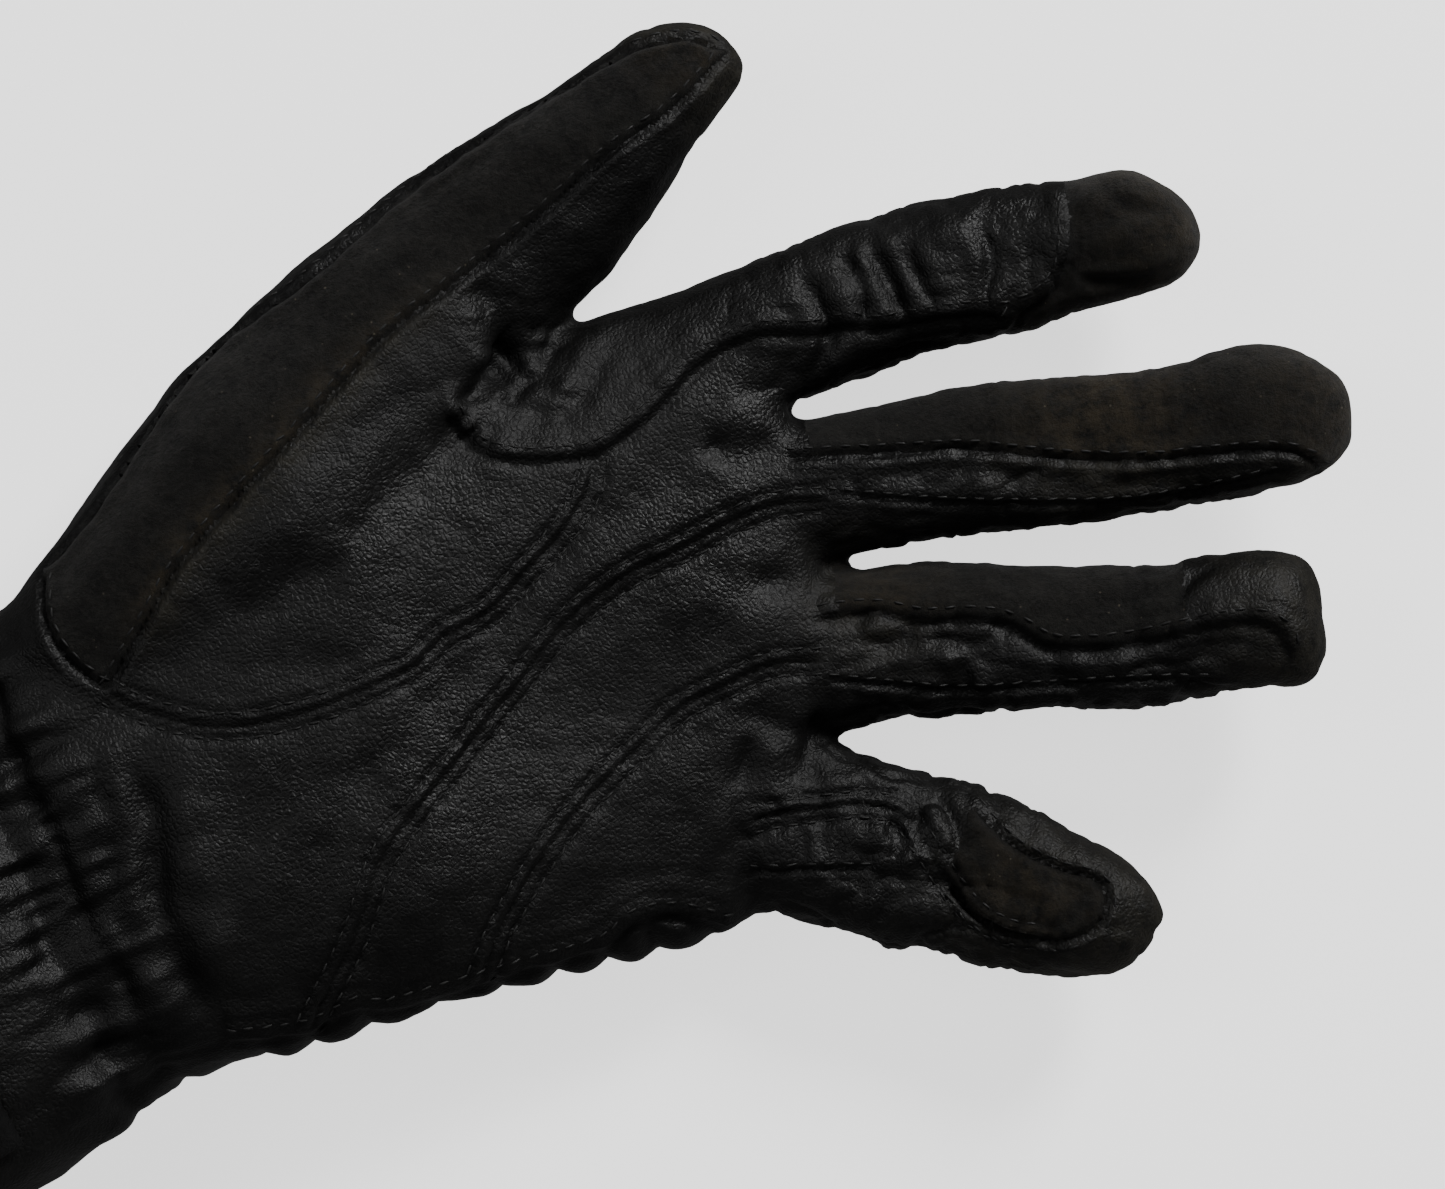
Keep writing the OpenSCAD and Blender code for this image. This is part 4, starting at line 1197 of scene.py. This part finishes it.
# --- cuff: hem, lining and strap
def cuff_ring(s, inset, count=160):
    """Outline of the cuff at a place along the forearm, moved inwards by inset."""
    places, *sizes = zip(*CUFF_FORM)
    low, high, half = (float(np.interp(s, places, size)) for size in sizes)
    out = []
    for k in range(count):
        c, r = squarish(2 * math.pi * k / count, 2.6)
        lateral = (high + low) / 2 + ((high - low) / 2 - inset) * c
        height = half + 0.4 + (half - inset) * r
        out.append(np.append(WRIST[:2] + FOREARM * s + ACROSS * lateral, height))
    return np.array(out)


def cuff_tube(name, profile, slot, node):
    """Closed band round the cuff, from a loop of places along it and insets."""
    rings = [cuff_ring(s, inset) for s, inset in profile]
    verts = np.vstack(rings)
    faces = band_faces(len(rings), len(rings[0]), len(rings))
    verts = verts + 0.22 * np.stack([field(verts, 6, 50 + k) for k in range(3)], 1)
    piece = finish_piece(name, verts, faces, slot)
    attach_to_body(piece, "cuff")
    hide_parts(node)


HEM_W = 7.0
HEM_START = HEM_END - HEM_W
cuff_tube("cuff_hem_binding", [
    (HEM_START, -0.35), (HEM_START + 0.6, -0.85), (HEM_END - 3.5, -0.75), (HEM_END - 0.6, -0.7),
    (HEM_END + 0.3, -0.1), (HEM_END + 0.5, 0.9), (HEM_END, 1.8), (HEM_START, 1.9),
    (HEM_START - 0.5, 1.5), (HEM_START, 0.6)], "binding", "cuff_hem")
LINING_FROM = 15.0
down = [(s, 2.2 if s < 24 else 1.8) for s in np.linspace(LINING_FROM, HEM_START, 12)]
back = [(s, 2.8 if s < 24 else 2.4) for s in np.linspace(HEM_START, LINING_FROM, 12)]
cuff_tube("cuff_knit_lining", down + back, "lining", "cuff_lining")

PRESSED = 1.7
NARROWEST = 0.12
STRAP_ACROSS = (-0.84, 0.1)
STRAP_ALONG = (20, 40)
STRAP_ROUND = 0.22
TAPE_ACROSS = (-0.55, 0.0)
TAPE_ALONG = (23, 37)


def cuff_sheet(name, low, high, across, along, slot, rounded=0.0):
    """Sheet that follows the palm side of the cuff, from one lift above it to another.

    With a rounded length it narrows to a rounded end and is pressed down at both ends.
    """
    rows, cols = 40, 14
    wide = cols + 1
    grids = []
    for lift in (high, low):
        grid = []
        for i in range(rows + 1):
            d = across[0] + (across[1] - across[0]) * i / rows
            press, share = 0.0, 1.0
            if rounded:
                press = PRESSED * (float(smooth(d, 0.0, 0.1)) + 1 - float(smooth(d, -0.84, -0.6)))
                cut = max(0.0, (d - across[1] + rounded) / rounded)
                share = max(math.sqrt(max(0.0, 1 - cut * cut)), NARROWEST)
            for j in range(wide):
                s = along[0] + (along[1] - along[0]) * (0.5 + (j / cols - 0.5) * share)
                edge = 1 - 0.35 * (abs(j / cols - 0.5) * 2) ** 6 if lift == high else 1
                grid.append(cuff_top(s, d, lift * edge - press))
        grids.append(np.array(grid))
    n = (rows + 1) * wide
    faces = []
    for i in range(rows):
        for j in range(cols):
            a = i * wide + j
            quad = (a, a + 1, a + wide + 1, a + wide)
            faces += [quad, tuple(k + n for k in reversed(quad))]
    loop = [*range(cols), *range(cols, rows * wide + cols, wide)]
    loop += [*range(rows * wide + cols, rows * wide, -1), *range(rows * wide, 0, -wide)]
    for a, b in zip(loop, loop[1:] + loop[:1]):
        faces.append((b, a, a + n, b + n))
    return finish_piece(name, np.vstack(grids), faces, slot)


def cuff_top(s, d, lift):
    """Point on the palm side of the CAD cuff at the share d across it."""
    half_w = 40 + 6 * s / 50
    half_t = 19 + 5 * s / 50
    height = half_t * (1 - abs(d) ** 2.8) ** (1 / 2.8)
    return np.append(WRIST[:2] + FOREARM * s + ACROSS * half_w * d, half_t + height + lift)


strap = cuff_sheet("wrist_strap_leather", 2.32, 4.0, STRAP_ACROSS, STRAP_ALONG, "back_leather", STRAP_ROUND)
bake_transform(strap)
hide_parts("wrist_strap")
for name, low, high, body, node in (("strap_hook_tape", 1.42, 2.28, "strap", "strap_hook_patch"),
                                    ("strap_loop_tape", 0.5, 1.25, "cuff", "strap_loop_patch")):
    tape = cuff_sheet(name, low, high, TAPE_ACROSS, TAPE_ALONG, "hook_and_loop")
    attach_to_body(tape, body)
    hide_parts(node)

# --- floor, light and camera
FLOOR_HALF = 2.5
floor_mesh = bpy.data.meshes.new("floor")
corners = [(x * FLOOR_HALF, y * FLOOR_HALF, 0) for x, y in ((-1, -1), (1, -1), (1, 1), (-1, 1))]
floor_mesh.from_pydata(corners, [], [(0, 1, 2, 3)])
floor = placed("floor", floor_mesh)
paper = Graph("pale_paper")
paper.shade(Base_Color=(0.93, 0.93, 0.93), Roughness=0.9, Emission_Color=(1, 1, 1), Emission_Strength=1.5,
            Specular_IOR_Level=0.1)
floor_mesh.materials.append(paper.material)
floor.visible_glossy = False


def area_light(name, place, size, power):
    """Square light aimed at the middle of the glove."""
    light = bpy.data.lights.new(name, "AREA")
    light.shape = "RECTANGLE"
    light.size = light.size_y = size
    light.energy = power
    lamp = placed(name, light)
    lamp.location = place
    lamp.rotation_euler = (-Vector(place)).to_track_quat("-Z", "Y").to_euler()


area_light("key", (0.5, 0.7, 0.6), 0.3, 9.0)
area_light("fill", (-0.6, 0.2, 0.9), 0.5, 1.6)
world = bpy.data.worlds.new("soft_room")
world.use_nodes = True
sky = world.node_tree.nodes["Background"]
sky.inputs[0].default_value = (1, 1, 1, 1)
sky.inputs[1].default_value = 0.1
bpy.context.scene.world = world

VIEW_MM = 211.7
CAMERA_UP = 0.95
GLOVE_MIDDLE = 0.02
SENSOR = 36.0
look = LAYOUT + np.array([89.7, 34.5])
camera = bpy.data.cameras.new("camera")
camera.sensor_width = SENSOR
camera.lens = SENSOR * (CAMERA_UP - GLOVE_MIDDLE) / (VIEW_MM * MM)
camera.clip_start = 0.01
eye = placed("camera", camera)
eye.location = (look[0] * MM, look[1] * MM, CAMERA_UP)
bpy.context.scene.camera = eye
